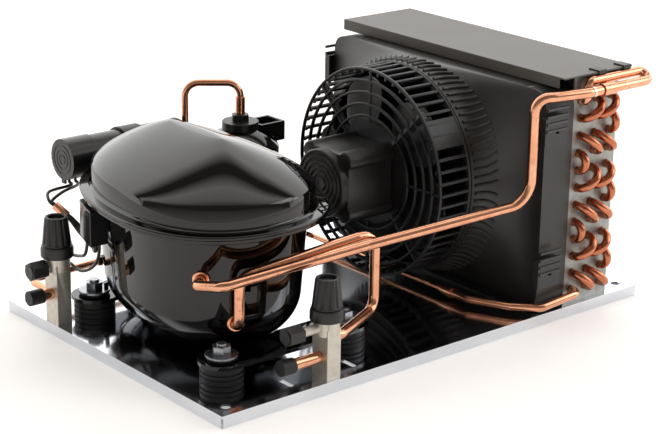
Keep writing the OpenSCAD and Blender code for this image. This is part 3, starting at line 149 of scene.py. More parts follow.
# The table is matt opal acrylic lit from below, so shadows on it stay faint.
table_size = 20
table_speckle = 2 * MM
floor_material = bpy.data.materials.new("lit_acrylic_table")
floor_material.use_nodes = True
acrylic = floor_material.node_tree
speckle = add(acrylic, "TexNoise", {"Vector": add(acrylic, "TexCoord").outputs["Object"],
                                    "Scale": 1 / table_speckle})
acrylic_tint = add(acrylic, "ValToRGB", {"Fac": speckle.outputs["Fac"]})
soften(acrylic_tint.color_ramp, [(0.3, srgb("F4F2F0")), (0.7, srgb("F7F5F3"))])
acrylic_shader = acrylic.nodes["Principled BSDF"]
acrylic.links.new(acrylic_tint.outputs["Color"], acrylic_shader.inputs["Base Color"])
acrylic_shader.inputs["Roughness"].default_value = 0.9
acrylic_shader.inputs["Specular IOR Level"].default_value = 0.1
acrylic_shader.inputs["Emission Color"].default_value = srgb("FFFDFA")
acrylic_shader.inputs["Emission Strength"].default_value = 0.35
floor_shape = bmesh.new()
bmesh.ops.create_grid(floor_shape, x_segments=1, y_segments=1, size=table_size)
floor_mesh = bpy.data.meshes.new("floor")
floor_shape.to_mesh(floor_mesh)
floor_mesh.materials.append(floor_material)
floor = bpy.data.objects.new("floor", floor_mesh)
bpy.context.collection.objects.link(floor)
floor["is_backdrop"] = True


# Tray. One sheet of bright zinc coated steel, 1.5 mm thick, folded down on all
# four sides and turned in below. Its corners are open where the folds meet.
def finish(name, colour, second, patch, roughness, spread=0.05, metallic=0.0, ior=1.5, skin=0.4 * MM,
           depth=0.0):
    """Surface in two near colours that change in soft patches, with uneven gloss and a fine skin."""
    material = bpy.data.materials.new(name)
    material.use_nodes = True
    tree = material.node_tree
    shader = tree.nodes["Principled BSDF"]
    place = add(tree, "TexCoord").outputs["Object"]
    cloud = add(tree, "TexNoise", {"Vector": place, "Scale": 1 / patch, "Detail": 5.0, "Roughness": 0.6})
    tint = add(tree, "ValToRGB", {"Fac": cloud.outputs["Fac"]})
    soften(tint.color_ramp, [(0.35, srgb(colour)), (0.68, srgb(second))])
    tree.links.new(tint.outputs["Color"], shader.inputs["Base Color"])
    gloss = add(tree, "MapRange", {"Value": cloud.outputs["Fac"], "To Min": roughness - spread,
                                   "To Max": roughness + spread})
    tree.links.new(gloss.outputs["Result"], shader.inputs["Roughness"])
    shader.inputs["Metallic"].default_value = metallic
    if metallic == 0:
        shader.inputs["IOR"].default_value = ior
    if depth:
        grain = add(tree, "TexNoise", {"Vector": place, "Scale": 1 / skin, "Detail": 3.0})
        relief = add(tree, "Bump", {"Height": grain.outputs["Fac"], "Strength": 0.5, "Distance": depth})
        tree.links.new(relief.outputs["Normal"], shader.inputs["Normal"])
    return material


def install(piece, slot, body="unit", *nodes):
    """Lets a piece move with its body and take over from its CAD nodes."""
    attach(piece, body)
    if nodes:
        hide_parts(*nodes)
    return piece


def object_of(shape, name, material, crease=radians(35)):
    """Object made from a bmesh, smooth except at edges sharper than the crease."""
    mesh = bpy.data.meshes.new(name)
    shape.to_mesh(mesh)
    shape.free()
    mesh.materials.append(material)
    mesh.shade_smooth()
    mesh.set_sharp_from_angle(angle=crease)
    piece = bpy.data.objects.new(name, mesh)
    bpy.context.collection.objects.link(piece)
    return piece


same_spot = 0.005 * MM
same_plane = radians(0.4)


def eased(node, material, slot, edge, body="unit", steps=2):
    """Copy of a CAD node with its flat faces joined and its edges broken to a small round."""
    shape = bmesh.new()
    shape.from_mesh(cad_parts[node].data)
    bmesh.ops.remove_doubles(shape, verts=shape.verts, dist=same_spot)
    bmesh.ops.dissolve_limit(shape, angle_limit=same_plane, verts=shape.verts, edges=shape.edges)
    piece = object_of(shape, node + "_finished", material)
    if edge:
        rounding = piece.modifiers.new("broken_edges", "BEVEL")
        rounding.width = edge
        rounding.segments = steps
        rounding.limit_method = "ANGLE"
        rounding.angle_limit = radians(35)
        rounding.harden_normals = True
    return install(piece, slot, body, node)


# Bright zinc on cold rolled sheet: near a mirror, drawn out along the rolling.
roll_length = 80 * MM
roll_pitch = 0.8 * MM
zinc_sheet = finish("bright_zinc_coated_sheet", "D6DAE0", "E0E3E8", 60 * MM, 0.10, 0.035, metallic=1.0)
zinc_tree = zinc_sheet.node_tree
rolled = add(zinc_tree, "Mapping", {"Vector": add(zinc_tree, "TexCoord").outputs["Object"],
                                    "Scale": (1 / roll_length, 1 / roll_pitch, 1 / roll_pitch)})
roll_lines = add(zinc_tree, "TexNoise", {"Vector": rolled.outputs["Vector"], "Scale": 1.0, "Detail": 2.0})
roll_relief = add(zinc_tree, "Bump", {"Height": roll_lines.outputs["Fac"], "Strength": 0.12,
                                      "Distance": 0.02 * MM})
zinc_tree.links.new(roll_relief.outputs["Normal"], zinc_tree.nodes["Principled BSDF"].inputs["Normal"])
eased("base_plate", zinc_sheet, "tray_steel", 0.5 * MM)

# Feet. Four zinc plated studs stand in the tray, each through a rubber grommet
# that carries the compressor's foot plate, under a plate washer and a hex nut.
# Zinc plate is a bright grey with soft edges to its glints. Moulded rubber is
# dull and even. Stoved enamel is a deep black with a hard, clear gloss.
zinc_plate = finish("zinc_plated_steel", "8F9296", "A9ACB0", 6 * MM, 0.28, 0.08, metallic=1.0, skin=0.6 * MM,
                    depth=0.02 * MM)
rubber = finish("moulded_rubber", "0D0D0E", "17171A", 9 * MM, 0.55, 0.1, skin=0.5 * MM, depth=0.04 * MM)
enamel = finish("black_stoved_enamel", "060505", "080707", 50 * MM, 0.035, 0.015, ior=1.52)
for node in ("foot_studs", "foot_nuts", "foot_washers", "foot_sleeves"):
    eased(node, zinc_plate, "zinc_steel", 0.35 * MM)
eased("foot_grommets", rubber, "rubber", 0.9 * MM, steps=3)
eased("foot_plates", enamel, "black_shell", 0.8 * MM, steps=3)

# Compressor shell. Two deep drawn steel bowls, the upper one flanged and
# crimped over the lower, welded at the seam and stoved in gloss black enamel.
# The plan is an egg, and the crown rises to a low ridge along its length.
shell_place = Vector((-135, 4, 0)) * MM
shell_long = 114.5 * MM
shell_short = 85 * MM
plan_power = 2.22
egg_share = 0.14
draft_share = 0.06
seam_height = 121 * MM
shell_floor = 16.7 * MM
bottom_round = 36.5 * MM
lower_step = 15.7 * MM
upper_step = 10.4 * MM
flange = 3.4 * MM
skirt = 20 * MM
crown_height = 55.4 * MM
crown_ridge = 4 * MM
crown_power = 1.29
shell_turns = 144


def bow(value, power):
    """Cosine or sine drawn out towards the corners, as in a superellipse."""
    return copysign(abs(value) ** (2 / power), value)


def shell_spot(angle, inset, height):
    """Point of the shell's plan, stepped in from the flange's edge."""
    x = (shell_short - inset) * bow(cos(angle), plan_power)
    y = (shell_long - inset) * bow(sin(angle), plan_power)
    return shell_place + Vector((x * (1 - egg_share * y / shell_long), y, height))


def turned(centre, height, radius, start, end, steps=4):
    """Points of a rounded edge in a profile of (inset, height), from one angle to another."""
    return [(centre + radius * cos(a), height + radius * sin(a))
            for a in (radians(start + (end - start) * i / steps) for i in range(steps + 1))]


def pressing(profile, name, crease=radians(50)):
    """Closed pressing: rings of the shell's plan at each (inset, height) of a profile."""
    shape = bmesh.new()
    loops = []
    for inset, height in profile:
        ring = bmesh.ops.create_circle(shape, segments=shell_turns, radius=shell_short)["verts"]
        for i, vert in enumerate(ring):
            vert.co = shell_spot(2 * pi * i / shell_turns, inset, height)
        loops.append({edge for vert in ring for edge in vert.link_edges})
    for loop, following in zip(loops, loops[1:]):
        bmesh.ops.bridge_loops(shape, edges=list(loop | following))
    for loop in (loops[0], loops[-1]):
        bmesh.ops.edgeloop_fill(shape, edges=list(loop))
    bmesh.ops.recalc_face_normals(shape, faces=shape.faces)
    return object_of(shape, name, enamel, crease)


def wall_inset(height):
    """Step in from the flange to the lower wall, which draws in towards the floor."""
    return lower_step + draft_share * (seam_height - height)


def bowl_profile(wall, steps=14):
    """Rounded bottom and wall of the lower shell, as (inset, height) from the floor up."""
    points = []
    for i in range(steps + 1):
        turn = radians(90 * i / steps)
        height = shell_floor + bottom_round * (1 - cos(turn)) + wall * cos(turn)
        points.append((wall_inset(height) + bottom_round * (1 - sin(turn)) + wall * sin(turn), height))
    return points


def crown_profile(wall, steps=28):
    """Crown of the upper shell from its ridge down to the skirt, as (inset, height)."""
    points = []
    for i in range(steps + 1):
        fall = cos(radians(90 * i / steps))
        reach = 1 - (1 - fall ** crown_power) ** (1 / crown_power)
        points.append((upper_step + wall + (shell_short - upper_step - crown_ridge - wall) * reach,
                       seam_height + skirt + (crown_height - skirt - wall) * fall))
    return points


shell_wall = 3 * MM
lip = 1.4 * MM
seam_gap = 0.3 * MM
lower_neck = seam_height - flange
pressing(bowl_profile(0)
         + turned(lower_step - 2 * lip, lower_neck - 2 * lip, 2 * lip, 0, 90, 5)
         + turned(2 * lip, lower_neck + lip, lip, 270, 180, 4)
         + [(lip, seam_height - seam_gap), (lower_step + shell_wall, seam_height - seam_gap)]
         + bowl_profile(shell_wall)[::-1], "lower_shell_pressing")
pressing(crown_profile(0)
         + turned(upper_step - 2 * lip, seam_height + flange + 2 * lip, 2 * lip, 0, -90, 5)
         + turned(lip, seam_height + flange - lip, lip, 90, 180, 4)
         + turned(lip, seam_height + lip, lip, 180, 270, 4)
         + [(upper_step + shell_wall, seam_height)]
         + crown_profile(shell_wall)[::-1], "upper_shell_pressing")
install(bpy.data.objects["lower_shell_pressing"], "black_shell", "unit", "lower_shell")
install(bpy.data.objects["upper_shell_pressing"], "black_shell", "unit", "upper_shell")
eased("shell_tabs", enamel, "black_shell", 0.6 * MM)

# Inside the compressor. A cast iron frame with its cylinder and head stands on
# springs over a laminated stator, and the crank drives one piston.
# Cast iron is grey with an open grain, laminations and springs have the darker
# sheen of oiled steel, and glazed ceramic is cream with a clear gloss.
cast_iron = finish("machined_cast_iron", "4A4A4B", "5E5D5C", 5 * MM, 0.45, 0.1, metallic=0.9, skin=1.2 * MM,
                   depth=0.08 * MM)
laminations = finish("stacked_laminations", "55565A", "6C6D70", 8 * MM, 0.38, 0.08, metallic=1.0)
spring_steel = finish("oiled_spring_steel", "4F5257", "70747A", 3 * MM, 0.25, 0.06, metallic=1.0)
glazed = finish("glazed_ceramic", "D8D2C4", "E4DFD3", 12 * MM, 0.25)
inner_finishes = {"compressor_frame": cast_iron, "cylinder_head": cast_iron, "piston": cast_iron,
                  "compressor_stator": laminations, "crankshaft": laminations, "frame_springs": spring_steel,
                  "terminal_block": glazed, "start_relay": glazed}


def refinish(node, material):
    """Gives a CAD node that stays in the scene its real material."""
    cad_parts[node].data.materials.clear()
    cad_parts[node].data.materials.append(material)


for node, material in inner_finishes.items():
    refinish(node, material)

# Terminal cover. A moulded cap clips over the compressor's terminals and relay.
# It is polished ABS, black with a soft gloss.
moulding = finish("glossy_black_abs", "0B0B0C", "121213", 20 * MM, 0.22, 0.06, ior=1.53, skin=0.7 * MM,
                  depth=0.01 * MM)
eased("terminal_cover", moulding, "gloss_plastic", 1.2 * MM, "terminal_lid", 3)

# Start capacitor. An aluminium can in a black sleeve lies in a strap bracket at
# the back, and a soft cap covers its terminals.
# Shrunk PVC is smooth and a little wavy. Powder coat is satin with a fine peel.
sleeve = finish("shrunk_pvc_sleeve", "0E0E0F", "161617", 25 * MM, 0.3, 0.06, ior=1.53, skin=3 * MM,
                depth=0.06 * MM)
powder = finish("satin_black_powder_coat", "101010", "191918", 14 * MM, 0.42, 0.08, skin=0.8 * MM,
                depth=0.04 * MM)
eased("capacitor", sleeve, "gloss_plastic", 1.6 * MM, steps=4)
eased("capacitor_cover", sleeve, "black_plastic", 0.8 * MM, steps=3)
eased("capacitor_bracket", powder, "black_sheet", 0.5 * MM)


# Leads. Black PVC covered wires run from the capacitor's cap through a copper
# ferrule to the terminals, and two thinner ones come up from the tray.
def rounded(route, bends, step=radians(8)):
    """Centres along a route whose corners are bent to the given radii."""
    route = [Vector(p) for p in route]
    centres = [route[0]]
    for before, corner, after, bend in zip(route, route[1:], route[2:], bends):
        into = (corner - before).normalized()
        away = (after - corner).normalized()
        angle = into.angle(away)
        side = (away - into * into.dot(away)).normalized()
        middle = corner - into * bend * tan(angle / 2) + side * bend
        steps = max(2, ceil(angle / step))
        for turn in (angle * i / steps for i in range(steps + 1)):
            centres.append(middle - side * bend * cos(turn) + into * bend * sin(turn))
    return centres + [route[-1]]


def flowing(points, steps=6):
    """Centres along a smooth curve through given points."""
    points = [Vector(p) for p in points]
    centres = [points[0]]
    for i in range(len(points) - 1):
        a, b, c, d = points[max(i - 1, 0)], points[i], points[i + 1], points[min(i + 2, len(points) - 1)]
        for t in ((k + 1) / steps for k in range(steps)):
            centres.append((2 * b + (c - a) * t + (2 * a - 5 * b + 4 * c - d) * t * t
                            + (3 * b - a - 3 * c + d) * t ** 3) / 2)
    return centres


def sweep(shape, centres, radius, sides=20):
    """Adds a round bar along its centres, with a flat face at each end."""
    loops = []
    heading = (centres[1] - centres[0]).normalized()
    stance = heading.to_track_quat("Z", "Y")
    for i, centre in enumerate(centres):
        ahead = (centres[min(i + 1, len(centres) - 1)] - centres[max(i - 1, 0)]).normalized()
        stance = heading.rotation_difference(ahead) @ stance
        heading = ahead
        place = Matrix.Translation(centre) @ stance.to_matrix().to_4x4()
        ring = bmesh.ops.create_circle(shape, segments=sides, radius=radius, matrix=place)["verts"]
        loops.append({edge for vert in ring for edge in vert.link_edges})
    for loop, following in zip(loops, loops[1:]):
        bmesh.ops.bridge_loops(shape, edges=list(loop | following))
    for loop in (loops[0], loops[-1]):
        bmesh.ops.edgeloop_fill(shape, edges=list(loop))
    bmesh.ops.recalc_face_normals(shape, faces=shape.faces)


def bars(name, routes, radius, material, slot, *nodes, sides=20):
    """Object of one or more round bars that stands for its CAD nodes."""
    shape = bmesh.new()
    for centres in routes:
        sweep(shape, centres, radius, sides)
    return install(object_of(shape, name, material), slot, "unit", *nodes)


def in_metres(points):
    """Points written in millimetres."""
    return [Vector(p) * MM for p in points]


# Soft PVC covering has a low, slightly greasy gloss.
pvc = finish("black_pvc_covering", "0A0A0B", "131314", 8 * MM, 0.32, 0.07, ior=1.53)
capacitor_wires = [[(-170, 136.5, 109.3), (-170, 136.5, 106.8), (-172, 131.5, 105.4), (-200.5, 118.5, 108.5),
                    (-207.7, 107.9, 105.3), (-205.4, 104.5, 101.3)],
                   [(-164, 136.5, 109.3), (-164, 136.5, 106.8), (-166, 130, 105), (-191.5, 112.5, 108),
                    (-204.1, 109.1, 103.7), (-202.8, 106.4, 101.3)]]
cables = [[(-199.5, 95, 92.9), (-197.3, 91.7, 90), (-196, 82, 83), (-197, 68, 79), (-201.2, 53.6, 81),
           (-202, 53, 91.5)],
          [(-196.5, 97, 92.9), (-194.3, 93.7, 90), (-192, 84, 84), (-193, 70, 77), (-201, 50.5, 76),
           (-202, 47.5, 91.5)]]
thin_wires = [[(-204, 104, 10), (-204, 104, 40), (-202, 98, 60), (-200, 78, 64), (-203.6, 61, 72),
               (-203, 57.5, 91.5)],
              [(-199, 104, 10), (-199, 104, 36), (-198, 98, 52), (-197, 80, 50), (-197, 62, 58),
               (-201.6, 45, 74), (-202, 43, 91.5)]]
wire_radius = 1.3 * MM
cable_radius = 1.6 * MM
wire_sides = 12
bars("capacitor_wires", [flowing(in_metres(p)) for p in capacitor_wires], wire_radius, pvc, "rubber",
     "capacitor_leads", sides=wire_sides)
terminal_wires = bmesh.new()
for points, radius in [(p, cable_radius) for p in cables] + [(p, wire_radius) for p in thin_wires]:
    sweep(terminal_wires, flowing(in_metres(points)), radius, wire_sides)
install(object_of(terminal_wires, "terminal_wires", pvc), "rubber", "unit", "terminal_leads")

# Copper. Drawn tube, bent cold and brazed, bright salmon with a little tarnish
# where it was heated, and redder in the condenser. Its length lines are too
# fine to show and are left out.
def copper_finish(name, colour, second, dark, roughness):
    """Bare copper with soft tarnish and small dark marks."""
    material = finish(name, colour, second, 14 * MM, roughness, 0.07, metallic=1.0)
    tree = material.node_tree
    place = add(tree, "TexCoord").outputs["Object"]
    marks = add(tree, "TexNoise", {"Vector": place, "Scale": 1 / mark_size, "Detail": 6.0, "Roughness": 0.7})
    share = add(tree, "ValToRGB", {"Fac": marks.outputs["Fac"]})
    soften(share.color_ramp, [(0.56, (0, 0, 0, 1)), (0.74, (1, 1, 1, 1))])
    shader = tree.nodes["Principled BSDF"]
    clean = shader.inputs["Base Color"].links[0].from_socket
    worn = add(tree, "MixRGB", {"Fac": share.outputs["Color"], "Color1": clean, "Color2": srgb(dark)})
    tree.links.new(worn.outputs["Color"], shader.inputs["Base Color"])
    return material


mark_size = 4 * MM
copper = copper_finish("drawn_copper_tube", "E8AC8A", "DC9A78", "B06A4A", 0.2)
coil_copper = copper_finish("coil_copper_tube", "C9805F", "B96C4C", "7E3F2A", 0.24)
eased("lead_ferrule", copper, "copper", 0.4 * MM)

# Receiver. A welded steel tank in black enamel stands on a ring foot at the
# back. A bushing and nut carry the dip pipe, and a bent strap guards them.
eased("receiver", enamel, "black_shell", 0.0)
eased("receiver_foot", enamel, "black_shell", 0.4 * MM)
eased("receiver_fitting", powder, "black_sheet", 0.5 * MM)
eased("receiver_clamp", powder, "black_sheet", 0.5 * MM)

# Liquid pipe. It leaves the receiver's top, loops over and runs down behind the
# compressor to the liquid valve.
liquid_bend = 12 * MM
liquid_radius = 3 * MM
liquid_route = in_metres([(-12, 108, 133.5), (-12, 108, 174), (-51, 136, 174), (-51, 136, 32),
                          (-217, 128, 32), (-217, 91.5, 32)])
bars("liquid_pipe_bent", [rounded(liquid_route, [liquid_bend] * 4)], liquid_radius, copper, "copper",
     "liquid_pipe")

# Service valves. Forged brass bodies in dull nickel plate are screwed to the
# tray. Moulded caps cover the spindle and the side port, and soft plugs close
# the connections for transport.
# Dull nickel is a warm, soft grey. Moulded nylon is near black with a low sheen.
nickel = finish("dull_nickel_plate", "D4CEC2", "C6BFB2", 5 * MM, 0.42, 0.08, metallic=0.75, skin=1.2 * MM,
                depth=0.03 * MM)
nylon = finish("black_moulded_nylon", "0F0F10", "19191A", 7 * MM, 0.42, 0.08, ior=1.53, skin=0.6 * MM,
               depth=0.03 * MM)
cap_profile = [(0.01, 21), (8.3, 21), (8.3, 0.2), (12.6, 0), (13.3, 0.8), (13.3, 7), (12.6, 9.4),
               (11.2, 9.9), (11.2, 11), (11.9, 11.5), (11.6, 13), (9.6, 32), (8.9, 33.6), (7.4, 34),
               (6.6, 33.5), (6.2, 31), (0.01, 31)]
cap_turns = 96
grip_bottom = 12 * MM
grip_inside = 9 * MM
flute_count = 12
flute_share = 0.09


def revolved(shape, points, steps):
    """Adds a profile of (radius, height), in millimetres, turned once round the upright axis."""
    verts = [shape.verts.new((x * MM, 0, z * MM)) for x, z in points]
    edges = [shape.edges.new(pair) for pair in zip(verts, verts[1:])]
    bmesh.ops.spin(shape, geom=verts + edges, cent=(0, 0, 0), axis=(0, 0, 1), dvec=(0, 0, 0), angle=2 * pi,
                   steps=steps, use_merge=True)


for side in ("liquid", "suction"):
    eased(side + "_valve", nickel, "nickel", 0.5 * MM)
    corners = [Vector(corner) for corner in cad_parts[side + "_cap"].bound_box]
    foot = Vector([(min(c[i] for c in corners) + max(c[i] for c in corners)) / 2 for i in (0, 1)]
                  + [min(c[2] for c in corners)])
    moulded_cap = bmesh.new()
    revolved(moulded_cap, cap_profile, cap_turns)
    for vert in moulded_cap.verts:
        if vert.co.z > grip_bottom and vert.co.xy.length > grip_inside:
            flute = max(0, cos(flute_count * atan2(vert.co.y, vert.co.x))) ** 2
            vert.co.xy *= 1 - flute_share * flute
    bmesh.ops.translate(moulded_cap, vec=foot, verts=moulded_cap.verts)
    bmesh.ops.holes_fill(moulded_cap, edges=moulded_cap.edges)
    bmesh.ops.recalc_face_normals(moulded_cap, faces=moulded_cap.faces)
    install(object_of(moulded_cap, side + "_cap_moulding", nylon), "black_plastic", side + "_top",
            side + "_cap")
    eased(side + "_spindle", zinc_plate, "zinc_steel", 0.3 * MM, side + "_stem")
    eased(side + "_port_cap", nylon, "black_plastic", 0.9 * MM, side + "_port", 3)
    eased(side + "_plug", rubber, "rubber", 0.8 * MM, side + "_end", 3)
eased("valve_stubs", copper, "copper", 0.3 * MM)


# Pipework. The suction pipe leaves the shell low, rises and comes round the
# front foot to its valve. The discharge pipe runs along the front and up to the
# condenser's top row, and a thin line comes back under the fan.
def shell_skin(degrees, height):
    """Place on the lower shell and the way out from it."""
    over_floor = max(0, shell_floor + bottom_round - height)
    inset = wall_inset(height) + bottom_round - sqrt(bottom_round ** 2 - over_floor ** 2)
    along = shell_spot(radians(degrees + 1), inset, 0) - shell_spot(radians(degrees - 1), inset, 0)
    return shell_spot(radians(degrees), inset, height), along.cross(Vector((0, 0, 1))).normalized()


def leaving(degrees, height, start):
    """First two corners of a pipe that is brazed into the shell."""
    skin, outward = shell_skin(degrees, height)
    return [skin + outward * start, skin + outward * (start + stub_length)]


stub_length = 14 * MM
pipe_radius = 4.2 * MM
pipe_bend = 12 * MM
suction_start = leaving(249, 48 * MM, 1.08 * MM)
suction_route = suction_start + [Vector((suction_start[1].x, suction_start[1].y, 90 * MM))] + in_metres(
    [(-63, -109, 102), (-45, -110, 102), (-45, -110, 39.5), (-102.5, -138, 40.5), (-110.5, -138, 40.5)])
bars("suction_pipe_bent", [rounded(suction_route, [pipe_bend] * 6)], pipe_radius, copper, "copper",
     "suction_pipe")
return_bend = 5.49 * MM
discharge_route = leaving(229, 84 * MM, 0.71 * MM) + in_metres(
    [(-192, -107, 90), (-62, -120, 98.6), (90, -146, 110.5), (90, -146, 197.5), (104, -152.5, 197.5),
     (139, -159.5, 197.5), (211.49, -159.5, 197.5), (211.49, -150.5, 203.8), (146.3, -150.5, 203.8),
     (146.3, -150.5, 187), (146.3, -145.5, 187)])
discharge_bends = [pipe_bend / 2, pipe_bend / 2, pipe_bend, 22 * MM, pipe_bend, pipe_bend, pipe_bend,
                   return_bend, return_bend, 5 * MM, 5 * MM]
bars("discharge_pipe_bent", [rounded(discharge_route, discharge_bends)], pipe_radius, copper, "copper",
     "discharge_pipe")
outlet_bend = 7 * MM
outlet_radius = 3.5 * MM
line_radius = 2.4 * MM
outlet_route = in_metres([(146.3, -145.5, 22), (146.3, -154.5, 22), (104, -151.5, 17), (86, -133, 17),
                          (70, -98, 17), (70, -74.6, 17)])
line_route = in_metres([(70, -74.5, 17), (70, 108, 17), (40, 108, 32), (22.1, 108, 32)])
outlet = bmesh.new()
sweep(outlet, rounded(outlet_route, [outlet_bend] * 4), outlet_radius)
sweep(outlet, rounded(line_route, [outlet_bend] * 2), line_radius, 14)
install(object_of(outlet, "condenser_outlet_line", copper), "copper", "unit", "condenser_line")
eased("pipe_sleeves", copper, "copper", 0.3 * MM)
# Silver solder is paler and brighter than the tube that it joins.
silver_solder = finish("silver_solder", "E6DCC8", "D8CBB2", 3 * MM, 0.25, 0.06, metallic=1.0, skin=0.8 * MM,
                       depth=0.04 * MM)
solder_radius = 4.6 * MM
solder_ring = bmesh.new()
sweep(solder_ring, in_metres([(141, -159.5, 197.5), (142.5, -159.5, 197.5), (144, -159.5, 197.5)]),
      solder_radius)
install(object_of(solder_ring, "main_pipe_solder", silver_solder), "copper", "unit")
eased("pipe_collars", copper, "copper", 0.8 * MM, steps=3)

# Condenser. Aluminium fins are pressed on copper hairpins between two plates of
# galvanised sheet, and return bends are brazed on at the near end. The real
# fins stand about 2 mm apart and are drawn a little thicker, so that they show.
# Fin stock is clean pale aluminium. Galvanised plate is duller, with a faint
# spangle in its grey.
fin_stock = finish("aluminium_fin_stock", "9DA0A3", "B4B6B8", 18 * MM, 0.36, 0.08, metallic=1.0, skin=1 * MM,
                   depth=0.02 * MM)
galvanised = finish("galvanised_plate", "8C8D89", "A6A7A2", 7 * MM, 0.42, 0.1, metallic=0.85, skin=2 * MM,
                    depth=0.03 * MM)
fin_low, fin_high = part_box("fin_block")
fin_pitch = 2.1 * MM
fin_sheet = 0.35 * MM
fins = bmesh.new()
fin_count = int((fin_high.y - fin_low.y) / fin_pitch)
for i in range(fin_count + 1):
    place = (fin_low + fin_high) / 2
    place.y = fin_low.y + fin_sheet / 2 + i * (fin_high.y - fin_low.y - fin_sheet) / fin_count
    across = Matrix.Diagonal((fin_high.x - fin_low.x, fin_sheet, fin_high.z - fin_low.z, 1))
    bmesh.ops.create_cube(fins, size=1, matrix=Matrix.Translation(place) @ across)
install(object_of(fins, "fin_stack", fin_stock), "aluminium", "unit", "fin_block")
eased("end_plates", galvanised, "zinc_steel", 0.3 * MM)
tube_radius = 3.5 * MM
tube_rows = 12
tube_columns = (1, 2, 3)
middle_column = 163.5 * MM
column_pitch = 17.2 * MM
lowest_row = 22 * MM
row_pitch = 15 * MM
near_end = -145.5 * MM
far_end = 119.5 * MM


def tube_place(column, row, y):
    """Axis of one condenser tube at a distance across the tray."""
    return Vector((middle_column + (column - 2) * column_pitch, y, lowest_row + (row - 1) * row_pitch))


def half_turn(start, end, outward, steps=10):
    """Centres round a half circle from one tube to another."""
    middle = (start + end) / 2
    arm = start - middle
    return [middle + arm * cos(pi * i / steps) + outward * arm.length * sin(pi * i / steps)
            for i in range(steps + 1)]


hairpins = []
for column in tube_columns:
    for row in range(1, tube_rows, 2):
        low, high = tube_place(column, row, far_end), tube_place(column, row + 1, far_end)
        hairpins.append([tube_place(column, row, near_end)] + half_turn(low, high, Vector((0, 1, 0)))
                        + [tube_place(column, row + 1, near_end)])
bars("hairpin_tubes_bent", hairpins, tube_radius, coil_copper, "copper", "hairpin_tubes", sides=16)
# Each return bend joins two tubes, given as (column, row, column, row).
bends = []
for top in (12, 8, 4):
    bends += [(1, top - 1, 2, top), (2, top - 1, 3, top), (3, top - 1, 3, top - 2), (3, top - 3, 2, top - 2),
              (2, top - 3, 1, top - 2)]
bends += [(1, 9, 1, 8), (1, 5, 1, 4)]
bars("return_bends_bent",
     [half_turn(tube_place(a, b, near_end), tube_place(c, d, near_end), Vector((0, -1, 0)))
      for a, b, c, d in bends],
     tube_radius, coil_copper, "copper", "return_bends")

# Top cover. Coated sheet folded down front and rear over the condenser, with
# two bent clips at its near edge. The coating is a warm satin grey.
coated = finish("satin_coated_sheet", "4B4742", "57534D", 45 * MM, 0.46, 0.07, skin=1 * MM, depth=0.03 * MM)
eased("top_cover", coated, "cover_sheet", 0.5 * MM, steps=3)
eased("cover_clips", powder, "cover_sheet", 0.3 * MM)

# Shroud. One moulding: a round mouth behind the guard flares out like a bell
# into a shallow box that closes on the condenser's face. Short ridges stiffen
# the bell where it leaves the mouth.
# Glass filled nylon is dark grey, with a soft sheen that the fibres break up.
moulded = finish("moulded_glass_filled_nylon", "1C1B1A", "262523", 30 * MM, 0.4, 0.07, ior=1.53,
                 skin=0.9 * MM, depth=0.05 * MM)
fan_axis = Vector((0, -13, 114.5)) * MM
drum_radius = 90 * MM
drum_end = 66 * MM
bell_depth = 38 * MM
shroud_end = 136.7 * MM
shroud_wall = 2.4 * MM
box_half = 132.5 * MM
box_up = 86.2 * MM
box_down = 104.2 * MM
box_power = 16
shroud_turns = 256


def shroud_spot(turn, x, share, wall):
    """Point of the shroud's outline: round at share 0, the box at share 1."""
    power = 2 + (box_power - 2) * share * share
    up = drum_radius + share * ((box_up if sin(turn) > 0 else box_down) - drum_radius) - wall
    wide = drum_radius + share * (box_half - drum_radius) - wall
    return fan_axis + Vector((x, wide * bow(cos(turn), power), up * bow(sin(turn), power)))


def bell_steps(wall, count=18):
    """Places and shares along the bell, from the mouth to the box."""
    return [(drum_end + (bell_depth + wall) * sin(turn), 1 - cos(turn), wall)
            for turn in (radians(90 * i / count) for i in range(count + 1))]


shroud_shape = bmesh.new()
shroud_loops = []
for x, share, wall in (bell_steps(0) + [(shroud_end, 1, 0), (shroud_end, 1, shroud_wall)]
                       + bell_steps(shroud_wall)[::-1]):
    ring = bmesh.ops.create_circle(shroud_shape, segments=shroud_turns, radius=drum_radius)["verts"]
    for i, vert in enumerate(ring):
        vert.co = shroud_spot(2 * pi * i / shroud_turns, x, share, wall)
    shroud_loops.append({edge for vert in ring for edge in vert.link_edges})
for loop, following in zip(shroud_loops, shroud_loops[1:] + shroud_loops[:1]):
    bmesh.ops.bridge_loops(shroud_shape, edges=list(loop | following))
bmesh.ops.recalc_face_normals(shroud_shape, faces=shroud_shape.faces)
install(object_of(shroud_shape, "shroud_moulding", moulded, radians(40)), "black_sheet", "unit", "shroud")
eased("shroud_ears", moulded, "black_sheet", 0.8 * MM, steps=3)
ear_low, ear_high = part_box("shroud_ears")
ear_bottoms = (44 * MM, 166 * MM)
ear_height = 24 * MM
ridges_per_ear = 4
ridge_reach = (1 * MM, 12 * MM, 25 * MM)
ridge_radius = 1.3 * MM
ridge_sides = 8
ear_ridges = []
for bottom in ear_bottoms:
    for i in range(ridges_per_ear):
        height = bottom + ear_height * (i + 0.5) / ridges_per_ear
        for y in (ear_low.y, ear_high.y):
            ear_ridges.append([Vector((ear_low.x + reach, y, height)) for reach in ridge_reach])
bars("ear_ridges", ear_ridges, ridge_radius, moulded, "black_sheet", sides=ridge_sides)
ridge_count = 84
ridge_lift = 0.5 * MM
ridges = []
for i in range(ridge_count):
    turn = 2 * pi * (i + 0.5) / ridge_count
    ridges.append([shroud_spot(turn, x, share, -ridge_lift) for x, share, _ in bell_steps(0)[1:8]])
bars("bell_ridges", ridges, ridge_radius, moulded, "black_sheet", sides=ridge_sides)

